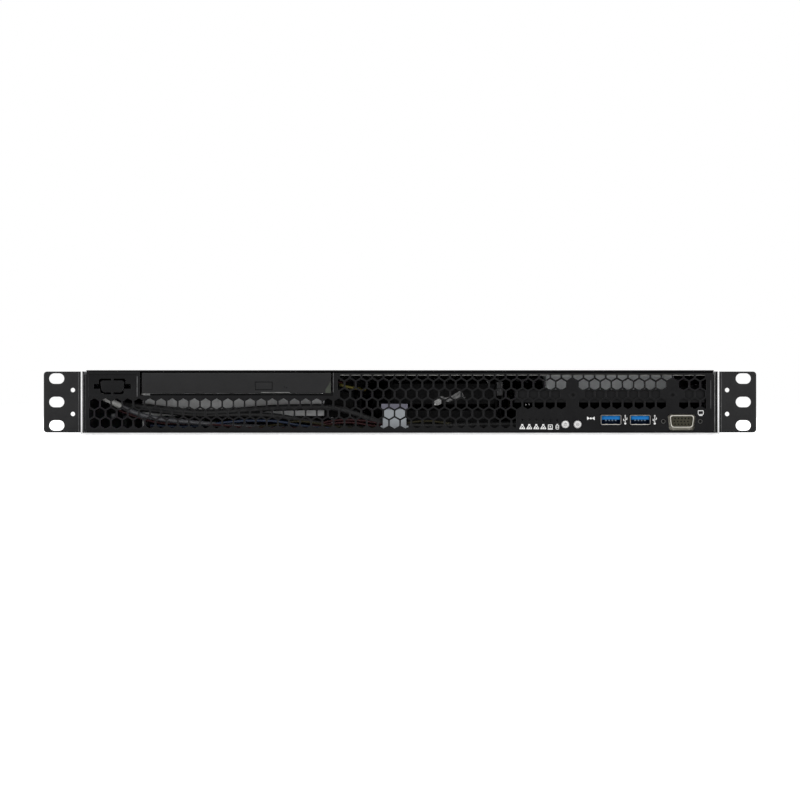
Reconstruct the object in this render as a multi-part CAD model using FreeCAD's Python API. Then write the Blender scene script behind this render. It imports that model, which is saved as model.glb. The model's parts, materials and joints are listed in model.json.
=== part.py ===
"""A short-depth 1U rack server, as separate pieces in millimetres.

The front faces -Y and +Z is up. The origin is the middle of the underside of the whole box.
Each node is written to parts/NODE.step.
"""

import FreeCAD, Part
import math
import os

V = FreeCAD.Vector

# ---- rack standard and case -------------------------------------------------------------
LEFT_BAY = 40.2
MIDDLE_BAY = 124.4
BAY_GAP = 5.8
PAN_SHEET = 1.0
PAN_BEND = 0.6
COVER_SHEET = 0.8
FRONT_REACH = 1.0
KNOB_REACH = 8.0
SEAT_GAP = 0.2
RUN_GAP = 0.3
SAME_POINT = 1e-6
SHARP = 0.0
SMALL_SIDES = 10
DUCT_SIDES = 16
DISC_SIDES = 24

# ---- rack ears --------------------------------------------------------------------------
EAR_REACH = 26.3
EAR_SHEET = 2.0
EAR_BEND = 1.0
EAR_HEIGHT = 41.3
EAR_LEG = 46.0
EAR_CORNER = 2.3
SLOT_EDGE = 8.75
SLOT_PITCH = 15.875
SLOT_LENGTH = 10.3
SLOT_HEIGHT = 7.1
HANDLE_HOLE_OFFSET = 6.6
HANDLE_HOLE_SPACING = 16.2
HANDLE_HOLE_R = 1.5
EAR_MID = 21.85
EAR_SCREW_Y = (14.0, 36.0)
EAR_SCREW_HEAD_R = 2.8
EAR_SCREW_HEAD = 1.4
EAR_SCREW_R = 1.5
SCREW_FIT = 0.05

# ---- front panel ------------------------------------------------------------------------
PANEL_SHEET = 1.2
PANEL_BEND = 0.3
PANEL_TOP_GAP = 0.7
PANEL_FLANGE = 12.0
PANEL_FOOT = 6.0
PANEL_SIDE_GAP = 0.2
HEX_FLATS = 6.4
HEX_PITCH = 7.53
HEX_FIRST_OFFSET = 8.0
HEX_FIRST_Z = 7.59
VENT_LEFT_MARGIN = 4.3
VENT_RIGHT_MARGIN = 7.6
VENT_LAP = 0.9
VENT_UPPER_GAP = 3.165
VENT_TOP_GAP = 2.3
VENT_MIN_AREA = 2.0
POCKET_DEPTH = 0.4
POCKET_LEFT_MARGIN = 4.0
POCKET_RIGHT_GAP = 3.4
POCKET_LOW = 25.3
POCKET_HIGH = 40.6
KNOCKOUT_OFFSET = 20.1
KNOCKOUT_Z = 32.4
KNOCKOUT_WIDTH = 18.6
KNOCKOUT_HEIGHT = 10.5
KNOCKOUT_SLIT = 1.2
KNOCKOUT_WING = 4.5
KNOCKOUT_WING_HEIGHT = 3.2
KNOCKOUT_TAB = 1.4

# ---- optical drive ----------------------------------------------------------------------
ODD_WIDTH = 128.1
ODD_CASE_HEIGHT = 12.7
ODD_CASE_DEPTH = 124.0
ODD_CASE_SHEET = 0.6
ODD_OPENING_GAP = 1.4
BEZEL_TOP_GAP = 1.0
BEZEL_DROP = 0.6
BEZEL_HEIGHT = 13.9
BEZEL_PROUD = 0.6
BEZEL_THICK = 4.0
BEZEL_LIP = 1.0
BEZEL_LIP_FROM_RIGHT = 37.75
BEZEL_LIP_LENGTH = 20.0
TRAY_CLEAR = 0.4
TRAY_BACK_GAP = 4.0
TRAY_HEIGHT = 9.6
DISC_R = 60.6
DISC_RECESS = 2.6
DISC_OFFSET = 1.0
HUB_R = 7.5
HUB_HEIGHT = 2.0
HUB_SHAFT_R = 2.5
HUB_SHAFT = 4.5
SHAFT_FIT = 0.05
EJECT_FROM_RIGHT = 45.6
EJECT_RISE = 5.0
EJECT_WIDTH = 11.2
EJECT_HEIGHT = 4.9
EJECT_STEM = 1.4
EJECT_FOOT = 1.2
EJECT_ROOM = 4.0
EJECT_ROOF = 0.8
BRACKET_SHEET = 1.0
BRACKET_OVERHANG = 0.7
BRACKET_FOOT = 14.0
BRACKET_FACE_BACK = 14.0
BRACKET_FACE_LOW = 12.4
BRACKET_TABLE_BACK = 20.0

# ---- front port group -------------------------------------------------------------------
BOARD_THICK = 1.6
PORT_BOARD_TOP = 3.85
PORT_BOARD_INSET = 1.3
PORT_BOARD_OVERHANG = 0.4
PORT_BOARD_DEPTH = 42.0
PORT_BOARD_FRONT = 1.6
SPACER_INSET = 5.0
SPACER_FRONT = 16.0
LAMP_BAR_LEFT = 2.0
LAMP_BAR_RIGHT = 1.0
LAMP_BAR_DEPTH = 3.4
LAMP_BAR_RISE = 1.4
LED_EDGE = 5.1
LED_Z = 9.3
LED_PITCH = 4.75
LED_COUNT = 6
LED_R = 0.75
LED_SIDES = 6
BUTTON_FROM_LED = 5.45
BUTTON_PITCH = 8.3
BUTTON_Z = 6.65
BUTTON_R = 2.5
BUTTON_SIDES = 12
BUTTON_LENGTH = 7.0
BUTTON_FLANGE = 0.6
BUTTON_COLLAR = 1.0
BUTTON_NOTCH = 2.0
BUTTON_TRAVEL = 0.5
SWITCH_WIDTH = 6.0
SWITCH_DEPTH = 4.5
SWITCH_RISE = 3.0
SWITCH_NIB = 2.4
USB_FROM_BUTTON = 22.6
USB_PITCH = 19.8
USB_Z = 9.75
USB_WIDTH = 13.9
USB_HEIGHT = 6.7
USB_DEPTH = 14.0
USB_SHEET = 0.4
USB_PROUD = 0.5
USB_TONGUE_INSET = 1.2
USB_TONGUE_FRONT = 1.0
USB_TONGUE_LOW = 0.5
USB_TONGUE_HIGH = 0.7
USB_BACK = 2.0
USB_HEEL = 1.5
VGA_FROM_USB = 28.2
VGA_EDGE = 15.5
VGA_Z = 8.7
VGA_WIDTH = 16.6
VGA_HEIGHT = 8.4
VGA_NOTCH = 1.0
VGA_SHELL = 5.8
VGA_SHELL_SHEET = 0.5
VGA_FLANGE_WIDTH = 30.8
VGA_FLANGE_HEIGHT = 12.4
VGA_FLANGE = 0.8
VGA_BODY_WIDTH = 25.0
VGA_BODY_DEPTH = 10.0
VGA_CORE_BACK = 0.8
VGA_CORE_FIT = 0.05
VGA_OPENING_DROP = 0.7
VGA_OPENING_WIDER = 2.2
VGA_OPENING_TALLER = 2.8
VGA_OPENING_TAPER = 0.08
JACK_SPACING = 25.0
JACK_HOLE_R = 1.6
JACK_NUT_FLATS = 5.0
PORT_CLEAR = 0.4

# ---- shelf and drives -------------------------------------------------------------------
SHELF_MARGIN = 8.6
SHELF_BOTTOM = 21.5
SHELF_TOP = 30.4
SHELF_SHEET = 1.0
SHELF_FAN_GAP = 4.5
SHELF_FOOT = 8.0
PANEL_SCREW_EDGE = 39.4
PANEL_SCREW_PITCH = 67.7
PANEL_SCREW_Z = 26.6
PANEL_SCREW_HEAD_R = 2.7
PANEL_SCREW_R = 1.5
PANEL_SCREW_LENGTH = 4.0
SCREW_BLANK_R = 8.5
DRIVE_WIDTH = 69.85
DRIVE_DEPTH = 100.2
DRIVE_HEIGHT = 15.0
DRIVE_COVER = 0.6
DRIVE_COVER_INSET = 1.5
DRIVE_COVER_FRONT = 6.0
UPPER_DRIVE_INSET = 3.0
LOWER_DRIVE_INSET = 0.5
CAGE_SHEET = 0.8
UPPER_CAGE_INSET = 22.3
UPPER_CAGE_WIDTH = 87.0
UPPER_CAGE_TOP_GAP = 2.2
UPPER_CAGE_BACK_GAP = 17.3
LOWER_CAGE_OFFSET = 83.5
LOWER_CAGE_BACK_GAP = 3.3
LOWER_CAGE_TOP_GAP = 4.6
LOWER_CAGE_TAB = 4.2
LOWER_CAGE_TAB_Z = (26.0, 35.4)
DRIVE_GAP = 3.4

# ---- fans -------------------------------------------------------------------------------
FAN_SIZE = 40.0
FAN_DEPTH = 28.0
FAN_COUNT = 3
FAN_PITCH = 54.0
FAN_TO_SHELF = 31.7
FAN_TO_BOARD = 5.0
FAN_COVER_GAP = 1.6
FAN_WALL = 1.2
FAN_HUB_R = 12.5
FAN_TIP_GAP = 0.6
FAN_BLADES = 5
FAN_BLADE = 1.2
FAN_BLADE_ANGLE = 38.0
FAN_SHAFT_R = 1.5
FAN_STATOR = 3.0
FAN_STRUT = 2.6
FAN_BRACKET_SHEET = 1.0
FAN_BRACKET_FOOT = 8.0
FAN_BRACKET_MARGIN = 6.0
FAN_STRUT_INSET = 0.5
FAN_SHAFT_START = 7.0
FAN_ROTOR_INSET = 3.5
FAN_WELL = 3.0
FAN_BLADE_ROOT = 1.5
FAN_BLADE_TIP = 1.2
FAN_BLADE_SHARE = 0.8

# ---- mainboard --------------------------------------------------------------------------
MAIN_SIZE = 244.0
MAIN_PSU_GAP = 8.5
MAIN_STANDOFF = 6.35
MAIN_REAR_GAP = 0.5
STANDOFF_FLATS = 6.0
STANDOFF_INSET = 8.0
SINK_SIZE = 90.0
SINK_DIMM_GAP = 12.0
SINK_Y = 62.0
SINK_BASE = 4.0
SINK_TOP_GAP = 5.6
SINK_FINS = 14
SINK_FIN = 1.4
SOCKET_SIZE = 52.0
SOCKET_HEIGHT = 5.0
DIMM_COUNT = 4
DIMM_PITCH = 9.5
DIMM_FROM_PSU = 59.5
DIMM_LENGTH = 133.35
DIMM_TOP_GAP = 2.65
DIMM_THICK = 1.3
DIMM_SOCKET_WIDTH = 6.5
DIMM_SOCKET_END = 4.325
DIMM_SOCKET_HEIGHT = 7.0
DIMM_SEAT = 4.0
DIMM_Y = 42.0
CHIP_SINK_GAP = 10.0
CHIP_SINK_Y = 96.0
CHIP_SINK_SIZE = 36.0
CHIP_SINK_HEIGHT = 12.0
CHIP_SINK_FINS = 8
CHIP_SINK_BASE = 3.0
CHIP_SINK_FIN = 1.6
POWER_SOCKET_FROM_PSU = 107.5
POWER_SOCKET_LENGTH = 52.0
POWER_SOCKET_WIDTH = 9.0
POWER_SOCKET_HEIGHT = 10.0
POWER_PLUG_HEIGHT = 9.0
CONNECTOR_INSET = 3.0
HEADERS_INSET = 7.0
HEADERS_WIDTH = 14.0
HEADERS_DEPTH = 17.0
HEADERS_HEIGHT = 9.0
HEADER_PIN = 5.0
RISER_SHIELD_GAP = 5.5
RISER_FRONT = 96.0
RISER_LENGTH = 85.0
RISER_TOP_GAP = 4.6
RISER_SOCKET_WIDTH = 8.0
RISER_SOCKET_HEIGHT = 11.0
RISER_SEAT = 6.0
RISER_SOCKET_END = 2.0
RISER_MOUTH_REACH = 9.0
RISER_MOUTH_INSET = 4.0
RISER_MOUTH_DROP = 11.0
RISER_MOUTH_HEIGHT = 7.5

# ---- rear -------------------------------------------------------------------------------
SHIELD_PSU_GAP = 13.25
SHIELD_LOW = 4.0
SHIELD_TOP_GAP = 3.6
SHIELD_SHEET = 0.5
SLOT_OPENING_MARGIN = 30.0
SLOT_OPENING_GAP = 11.5
SLOT_OPENING_LOW = 14.0
SLOT_OPENING_HIGH = 30.0
SLOT_COVER_LAP = 1.6
SLOT_COVER_SHEET = 0.9
REAR_PORT_PROUD = 0.8
REAR_PORT_DEPTH = 17.0
REAR_PORT_MOUTH = 9.0
REAR_USB_MOUTH = (12.6, 5.2)
REAR_USB_MOUTH_ZS = (4.0, 11.6)
REAR_TONGUE = (10.8, 1.8)
REAR_TONGUE_RISE = 0.2
REAR_TONGUE_BACK = 1.5
REAR_DSUB_SHELL = 5.8
REAR_DSUB_SHEET = 0.8
REAR_DSUB_WELL = 1.2
REAR_DSUB_WALL = 0.5
REAR_DSUB_BODY_INSET = 3.0
REAR_LAN_MOUTH = (11.8, 8.0)
REAR_LAN_MOUTH_Z = 7.2
REAR_USB_EDGE = 13.25
REAR_USB_SIZE = (14.4, 15.6)
REAR_SERIAL_PITCH = 30.0
REAR_VGA_PITCH = 37.0
REAR_DSUB_SIZE = (17.0, 8.4)
REAR_DSUB_FLANGE = (30.8, 12.4)
REAR_LAN_FROM_VGA = 35.0
REAR_LAN_PITCH = 23.0
REAR_LAN_EDGE = 20.5
REAR_LAN_SIZE = (16.2, 13.6)

# ---- power supply -----------------------------------------------------------------------
PSU_SIDE_GAP = 2.5
PSU_WIDTH = 100.0
PSU_DEPTH = 190.0
PSU_OPENING_LAP = 3.5
PSU_SLOTS = 4
PSU_SLOT_INSET = 12.0
PSU_SLOT_PITCH = 8.0
PSU_SLOT_WIDTH = 3.0
PSU_SLOT_DEPTH = 3.0
PSU_SLOT_LOW = 10.0
PSU_SLOT_HIGH = 32.0
PSU_SHAFT_BACK = 6.0
PSU_FAN_INSET = 27.5
PSU_FAN_BORE = 22.0
PSU_FAN_GUARD_GAP = 3.0
GUARD_INSET = 2.4
GUARD_LAP = 1.5
GUARD_SHEET = 0.8
GUARD_BAR = 2.0
INLET_INSET = 26.5
INLET_WIDTH = 28.0
INLET_HEIGHT = 21.0
INLET_DEPTH = 16.0
INLET_WALL = 2.2
INLET_FIT = 0.1
INLET_FLOOR = 2.0
INLET_BLADE = (1.8, 4.0)
INLET_BLADE_BACK = 2.0
INLET_BLADES = ((-7.0, -1.0), (0.0, 2.0), (7.0, -1.0))

# ---- cover ------------------------------------------------------------------------------
COVER_SIDE_GAP = 1.0
COVER_FLANGE = 9.0
COVER_BEND = 0.5
LEDGE_LENGTH = 14.0
LEDGE_WIDTH = 1.6
LEDGE_YS = (40.0, 200.0, 360.0)
KNOB_LEFT_INSET = 17.0
KNOB_PSU_GAP = 6.9
KNOB_TAB_WIDTH = 12.0
KNOB_TAB_DROP = 12.0
KNOB_R = 4.5
KNOB_EDGE = 1.0
KNOB_STEM_R = 1.6
KNOB_STEM = 4.0
KNOB_HOLE_R = 2.2
VENT_SLOT = (3.0, 16.0)
VENT_SLOT_LOW = 10.0
VENT_SLOT_PITCH = 7.0
VENT_SLOTS = 6
SIDE_VENT_STARTS = (330.0,)

# ---- cable routes (chosen points) -------------------------------------------------------
CABLE_SIDES = 5
RUN_SHARE = 0.45
HARNESS_R = 3.0
BUNDLE_R = 2.5
GREY_CABLE_R = 2.0
CLIP_OFFSET = 2.1
CLIP_WIDTH = 16.0
CLIP_HEIGHT = 16.8
CLIP_DEPTH = 10.0
CLIP_FOOT = 18.5
CLIP_FOOT_THICK = 1.6
CLIP_WALL = 1.8
CLIP_ROOF = 2.0

# ---- widths that follow from the sizes above --------------------------------------------
PORT_BAY = (LED_EDGE + (LED_COUNT - 1) * LED_PITCH + BUTTON_FROM_LED + BUTTON_PITCH
            + USB_FROM_BUTTON + USB_PITCH + VGA_FROM_USB + VGA_EDGE)
BODY_WIDTH = LEFT_BAY + ODD_WIDTH + MIDDLE_BAY + PORT_BAY + SHELF_MARGIN
SIDE = BODY_WIDTH / 2
INNER = SIDE - PAN_SHEET
EAR_TIP = SIDE + EAR_REACH
COVER_HALF = INNER - COVER_SIDE_GAP
ODD_LEFT = LEFT_BAY - SIDE
ODD_RIGHT = ODD_LEFT + ODD_WIDTH
EJECT_X = ODD_RIGHT - EJECT_FROM_RIGHT
SHELF_LEFT = ODD_RIGHT + MIDDLE_BAY
SHELF_RIGHT = SHELF_LEFT + PORT_BAY
LED_X = SHELF_LEFT + LED_EDGE
BUTTON_X = LED_X + (LED_COUNT - 1) * LED_PITCH + BUTTON_FROM_LED
BUTTON_XS = (BUTTON_X, BUTTON_X + BUTTON_PITCH)
USB_X = BUTTON_XS[1] + USB_FROM_BUTTON
USB_XS = (USB_X, USB_X + USB_PITCH)
VGA_X = USB_XS[1] + VGA_FROM_USB
PORT_BOARD_LEFT = SHELF_LEFT + PORT_BOARD_INSET
PORT_BOARD_RIGHT = SHELF_RIGHT + PORT_BOARD_OVERHANG
PANEL_SCREW_XS = (SHELF_LEFT + PANEL_SCREW_EDGE, SHELF_LEFT + PANEL_SCREW_EDGE + PANEL_SCREW_PITCH)
UPPER_CAGE_LEFT = SHELF_LEFT + UPPER_CAGE_INSET
LOWER_CAGE_LEFT = SHELF_LEFT - LOWER_CAGE_OFFSET
CLIP_X = LOWER_CAGE_LEFT + CLIP_OFFSET
FAN_XS = [SHELF_LEFT - FAN_TO_SHELF - k * FAN_PITCH for k in reversed(range(FAN_COUNT))]
PSU_LEFT = INNER - PSU_SIDE_GAP - PSU_WIDTH
PSU_FAN_X = PSU_LEFT + PSU_FAN_INSET
INLET_X = PSU_LEFT + PSU_WIDTH - INLET_INSET
MAIN_LEFT = PSU_LEFT - MAIN_PSU_GAP - MAIN_SIZE
DIMM_XS = [PSU_LEFT - DIMM_FROM_PSU + k * DIMM_PITCH for k in range(DIMM_COUNT)]
SINK_X = DIMM_XS[0] - SINK_DIMM_GAP - SINK_SIZE
POWER_SOCKET_X = PSU_LEFT - POWER_SOCKET_FROM_PSU
HEADERS_X = MAIN_LEFT + HEADERS_INSET
REAR_USB_X = PSU_LEFT - SHIELD_PSU_GAP - REAR_USB_EDGE
REAR_SERIAL_X = REAR_USB_X - REAR_SERIAL_PITCH
REAR_VGA_X = REAR_SERIAL_X - REAR_VGA_PITCH
REAR_LAN_X = REAR_VGA_X - REAR_LAN_FROM_VGA
REAR_LAN_XS = (REAR_LAN_X, REAR_LAN_X - REAR_LAN_PITCH)
SHIELD_LEFT = REAR_LAN_XS[1] - REAR_LAN_EDGE
SHIELD_RIGHT = PSU_LEFT - SHIELD_PSU_GAP
RISER_X = SHIELD_LEFT - RISER_SHIELD_GAP
CHIP_SINK_X = RISER_X - CHIP_SINK_GAP - CHIP_SINK_SIZE
SLOT_OPENING_LEFT = SLOT_OPENING_MARGIN - INNER
SLOT_OPENING_RIGHT = SHIELD_LEFT - SLOT_OPENING_GAP
KNOB_XS = (KNOB_LEFT_INSET - SIDE, PSU_LEFT - KNOB_PSU_GAP)

# ---- heights that follow ----------------------------------------------------------------
FLOOR = PAN_SHEET
WALL_TOP = FLOOR + FAN_SIZE + FAN_COVER_GAP
PANEL_TOP = WALL_TOP - PANEL_TOP_GAP
VENT_TOP = WALL_TOP - VENT_TOP_GAP
BEZEL_BOTTOM = WALL_TOP - BEZEL_TOP_GAP - BEZEL_HEIGHT
ODD_BOTTOM = BEZEL_BOTTOM + BEZEL_DROP
EJECT_Z = BEZEL_BOTTOM + EJECT_RISE
UPPER_CAGE_TOP = WALL_TOP - UPPER_CAGE_TOP_GAP
LOWER_CAGE_TOP = WALL_TOP - LOWER_CAGE_TOP_GAP
FAN_BORE_R = FAN_SIZE / 2 - FAN_WALL
SINK_TOP = WALL_TOP - SINK_TOP_GAP
RISER_TOP = WALL_TOP - RISER_TOP_GAP
SHIELD_HIGH = WALL_TOP - SHIELD_TOP_GAP
PSU_HEIGHT = FAN_SIZE
PSU_FAN_Z = FLOOR + PSU_HEIGHT / 2
INLET_Z = PSU_FAN_Z

# ---- depths that follow -----------------------------------------------------------------
BAY_DEPTH = (BEZEL_THICK - BEZEL_PROUD + RUN_GAP + ODD_CASE_DEPTH + BAY_GAP + FAN_BRACKET_FOOT)
BODY_DEPTH = BAY_DEPTH + FAN_DEPTH + FAN_TO_BOARD + MAIN_SIZE + MAIN_REAR_GAP + PAN_SHEET
FRONT = (FRONT_REACH - BODY_DEPTH - KNOB_REACH) / 2
REAR = FRONT + BODY_DEPTH
REAR_IN = REAR - PAN_SHEET
SHELF_DEPTH = BAY_DEPTH - SHELF_FAN_GAP - SHELF_FOOT - SHELF_SHEET
UPPER_CAGE_FRONT = BAY_DEPTH - UPPER_CAGE_BACK_GAP - DRIVE_DEPTH
LOWER_CAGE_FRONT = BAY_DEPTH - FAN_BRACKET_FOOT - LOWER_CAGE_BACK_GAP - DRIVE_DEPTH
TRAY_LENGTH = ODD_CASE_DEPTH - TRAY_BACK_GAP
DIMM_SOCKET_LENGTH = DIMM_LENGTH + 2 * DIMM_SOCKET_END


def placed(plane, u, v, start):
    """The point (u, v) of a drawing plane that stands at start along the third axis."""
    return {"XY": V(u, v, start), "XZ": V(u, start, v), "YZ": V(start, u, v)}[plane]


def pushed(plane, length):
    """The direction in which a drawing plane is extruded, with its length."""
    return {"XY": V(0, 0, length), "XZ": V(0, length, 0), "YZ": V(length, 0, 0)}[plane]


def box(x0, x1, y0, y1, z0, z1):
    """A block between two corners."""
    return Part.makeBox(x1 - x0, y1 - y0, z1 - z0, V(x0, y0, z0))


def prism(plane, points, start, end):
    """A closed outline of straight lines, extruded from start to end."""
    ring = [placed(plane, u, v, start) for u, v in points]
    face = Part.Face(Part.makePolygon(ring + ring[:1]))
    return face.extrude(pushed(plane, end - start))


def ring(u, v, radius, sides):
    """The corners of a regular outline round a point."""
    turns = [2 * math.pi * (k + 0.5) / sides for k in range(sides)]
    return [(u + radius * math.cos(t), v + radius * math.sin(t)) for t in turns]


def rod(plane, u, v, radius, start, end, sides=SMALL_SIDES):
    """A bar of many sides that fits inside a circle."""
    return prism(plane, ring(u, v, radius, sides), start, end)


def bore(plane, u, v, radius, start, end, sides=SMALL_SIDES):
    """A hole of many sides that a circle fits inside."""
    return prism(plane, ring(u, v, radius / math.cos(math.pi / sides), sides), start, end)


def cylinder(plane, u, v, radius, start, end):
    """A truly round bar, for the rack slots and corners."""
    axis = pushed(plane, 1.0)
    return Part.makeCylinder(radius, end - start, placed(plane, u, v, start), axis)


def countersink(x, z, y, wide, narrow, depth):
    """A tapered head of many sides, wide at the front."""
    front = [placed("XZ", a, b, y) for a, b in ring(x, z, wide, SMALL_SIDES)]
    back = [placed("XZ", a, b, y + depth) for a, b in ring(x, z, narrow, SMALL_SIDES)]
    outlines = [front, back]
    for k in range(SMALL_SIDES):
        outlines.append([front[k - 1], front[k], back[k], back[k - 1]])
    faces = [Part.Face(Part.makePolygon(spots + spots[:1])) for spots in outlines]
    return Part.Solid(Part.Shell(faces))


def joined(shapes):
    """One solid from shapes that meet."""
    return shapes[0].multiFuse(shapes[1:]).removeSplitter()


def without(shape, tools):
    """A shape less all the tools."""
    return shape.cut(Part.makeCompound(tools))


def folded(plane, path, thickness, radius, start, end):
    """A folded sheet. The path runs along one face, and the sheet lies on its left."""
    steps = [V(b[0] - a[0], b[1] - a[1], 0).normalize() for a, b in zip(path, path[1:])]
    lefts = [V(-d.y, d.x, 0) for d in steps]
    corners = [V(p[0], p[1], 0) for p in path]
    near = []
    far = []
    for i, corner in enumerate(corners):
        before = lefts[max(i - 1, 0)]
        after = lefts[min(i, len(lefts) - 1)]
        near.append(corner)
        far.append(corner + (before + after) * (thickness / (1 + before.dot(after))))
    faces = []
    for line, side in ((near, 1), (far, -1)):
        edges = []
        at = line[0]
        for i in range(1, len(line) - 1):
            if radius == SHARP:
                edges.append((at, line[i]))
                at = line[i]
                continue
            left_turn = lefts[i - 1].dot(steps[i]) > 0
            sign = 1 if left_turn else -1
            bend = radius + thickness if sign == side else radius
            back = bend * math.tan(steps[i - 1].getAngle(steps[i]) / 2)
            begin = line[i] - steps[i - 1] * back
            finish = line[i] + steps[i] * back
            across = (lefts[i - 1] + lefts[i]).normalize()
            middle = begin + lefts[i - 1] * (sign * bend) - across * (sign * bend)
            edges.append((at, begin))
            edges.append((begin, middle, finish))
            at = finish
        edges.append((at, line[-1]))
        faces.append(edges)
    ends = [(near[0], far[0]), (near[-1], far[-1])]
    made = []
    for edge in faces[0] + faces[1] + ends:
        if (edge[-1] - edge[0]).Length < SAME_POINT:
            continue
        spots = [placed(plane, p.x, p.y, start) for p in edge]
        curve = Part.LineSegment(*spots) if len(spots) == 2 else Part.Arc(*spots)
        made.append(curve.toShape())
    wire = Part.Wire(Part.__sortEdges__(made))
    return Part.Face(wire).extrude(pushed(plane, end - start))


def hexagon(u, v, flats):
    """Six corners, with two sides upright."""
    reach = flats / math.sqrt(3)
    turns = [math.radians(30 + 60 * k) for k in range(6)]
    return [(u + reach * math.cos(t), v + reach * math.sin(t)) for t in turns]


def clipped(points, low_u, high_u, low_v, high_v):
    """The part of a convex outline that lies inside a rectangle."""
    for axis, limit, keep in ((0, low_u, 1), (0, high_u, -1), (1, low_v, 1), (1, high_v, -1)):
        kept = []
        for here, after in zip(points, points[1:] + points[:1]):
            inside = (here[axis] - limit) * keep >= 0
            inside_after = (after[axis] - limit) * keep >= 0
            if inside:
                kept.append(here)
            if inside != inside_after:
                share = (limit - here[axis]) / (after[axis] - here[axis])
                kept.append(tuple(a + (b - a) * share for a, b in zip(here, after)))
        points = kept
    return points


def area(points):
    """The area of an outline of straight lines."""
    pairs = zip(points, points[1:] + points[:1])
    return abs(sum(a[0] * b[1] - b[0] * a[1] for a, b in pairs)) / 2


def d_outline(u, v, width, height, taper=0.12, corner=1.2):
    """The outline of a D-sub port, wide side up, with its corners cut."""
    top = width / 2
    low = top - height * taper
    half = height / 2
    right = [
        (low - corner, -half),
        (low, corner - half),
        (top, half - corner),
        (top - corner, half),
    ]
    left = [(-a, b) for a, b in reversed(right)]
    return [(u + a, v + b) for a, b in right + left]


def save(name, shapes):
    """Write a node's separate solids to its own STEP file."""
    solids = [solid for shape in shapes for solid in shape.Solids]
    Part.makeCompound(solids).exportStep(f"parts/{name}.step")


# ---- case -------------------------------------------------------------------------------
def base_pan():
    """Floor, side walls and rear wall of one folded sheet, with ledges for the cover."""
    bend = PAN_SHEET + PAN_BEND
    u_path = [(-SIDE, WALL_TOP), (-SIDE, 0), (SIDE, 0), (SIDE, WALL_TOP)]
    trough = folded("XZ", u_path, PAN_SHEET, PAN_BEND, FRONT + SEAT_GAP, REAR - bend)
    sides = [
        box(x, x + PAN_SHEET, REAR - bend, REAR, bend, WALL_TOP) for x in (-SIDE, INNER)
    ]
    wall_path = [(REAR - bend, 0), (REAR, 0), (REAR, WALL_TOP), (REAR - COVER_FLANGE, WALL_TOP)]
    reach = INNER - PAN_BEND
    wall = folded("YZ", wall_path, PAN_SHEET, PAN_BEND, -reach, reach)
    ledge_top = WALL_TOP + COVER_SHEET - COVER_FLANGE
    ledges = []
    for y in LEDGE_YS:
        for x in (-INNER, INNER - LEDGE_WIDTH):
            ledges.append(
                box(x, x + LEDGE_WIDTH, FRONT + y, FRONT + y + LEDGE_LENGTH,
                    ledge_top - PAN_SHEET, ledge_top)
            )
    return without(joined([trough, wall] + sides + ledges), rear_openings() + side_openings())


def rear_openings():
    """What is cut from the rear wall."""
    near = REAR - COVER_FLANGE
    psu_right = PSU_LEFT + PSU_WIDTH - PSU_OPENING_LAP
    cuts = [
        box(SHIELD_LEFT, SHIELD_RIGHT, near, REAR + 1, SHIELD_LOW, SHIELD_HIGH),
        box(SLOT_OPENING_LEFT, SLOT_OPENING_RIGHT, near, REAR + 1, SLOT_OPENING_LOW,
            SLOT_OPENING_HIGH),
        box(PSU_LEFT + PSU_OPENING_LAP, psu_right, near, REAR + 1,
            FLOOR + PSU_OPENING_LAP, FLOOR + PSU_HEIGHT - PSU_OPENING_LAP),
    ]
    cuts += [bore("XZ", x, knob_z(), KNOB_HOLE_R, near, REAR + 1) for x in KNOB_XS]
    pass_half = COVER_HALF - COVER_SHEET - COVER_BEND - RUN_GAP
    low = WALL_TOP + COVER_SHEET - COVER_FLANGE - RUN_GAP
    for xs in ((-INNER, -pass_half), (pass_half, INNER)):
        cuts.append(box(xs[0], xs[1], near - 1, REAR + 1, low, WALL_TOP + 1))
    return cuts


def side_openings():
    """Upright vent slots and ear screw holes in the side walls."""
    width, height = VENT_SLOT
    cuts = []
    for start in SIDE_VENT_STARTS:
        for k in range(VENT_SLOTS):
            y = FRONT + start + k * VENT_SLOT_PITCH - VENT_SLOTS * VENT_SLOT_PITCH
            low = VENT_SLOT_LOW
            cuts.append(box(-SIDE - 1, -INNER + 1, y, y + width, low, low + height))
            cuts.append(box(INNER - 1, SIDE + 1, y, y + width, low, low + height))
    for y in EAR_SCREW_Y:
        radius = EAR_SCREW_R + SCREW_FIT
        cuts.append(bore("YZ", FRONT + y, EAR_MID, radius, -SIDE - 1, -INNER + 1))
        cuts.append(bore("YZ", FRONT + y, EAR_MID, radius, INNER - 1, SIDE + 1))
    return cuts


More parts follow.
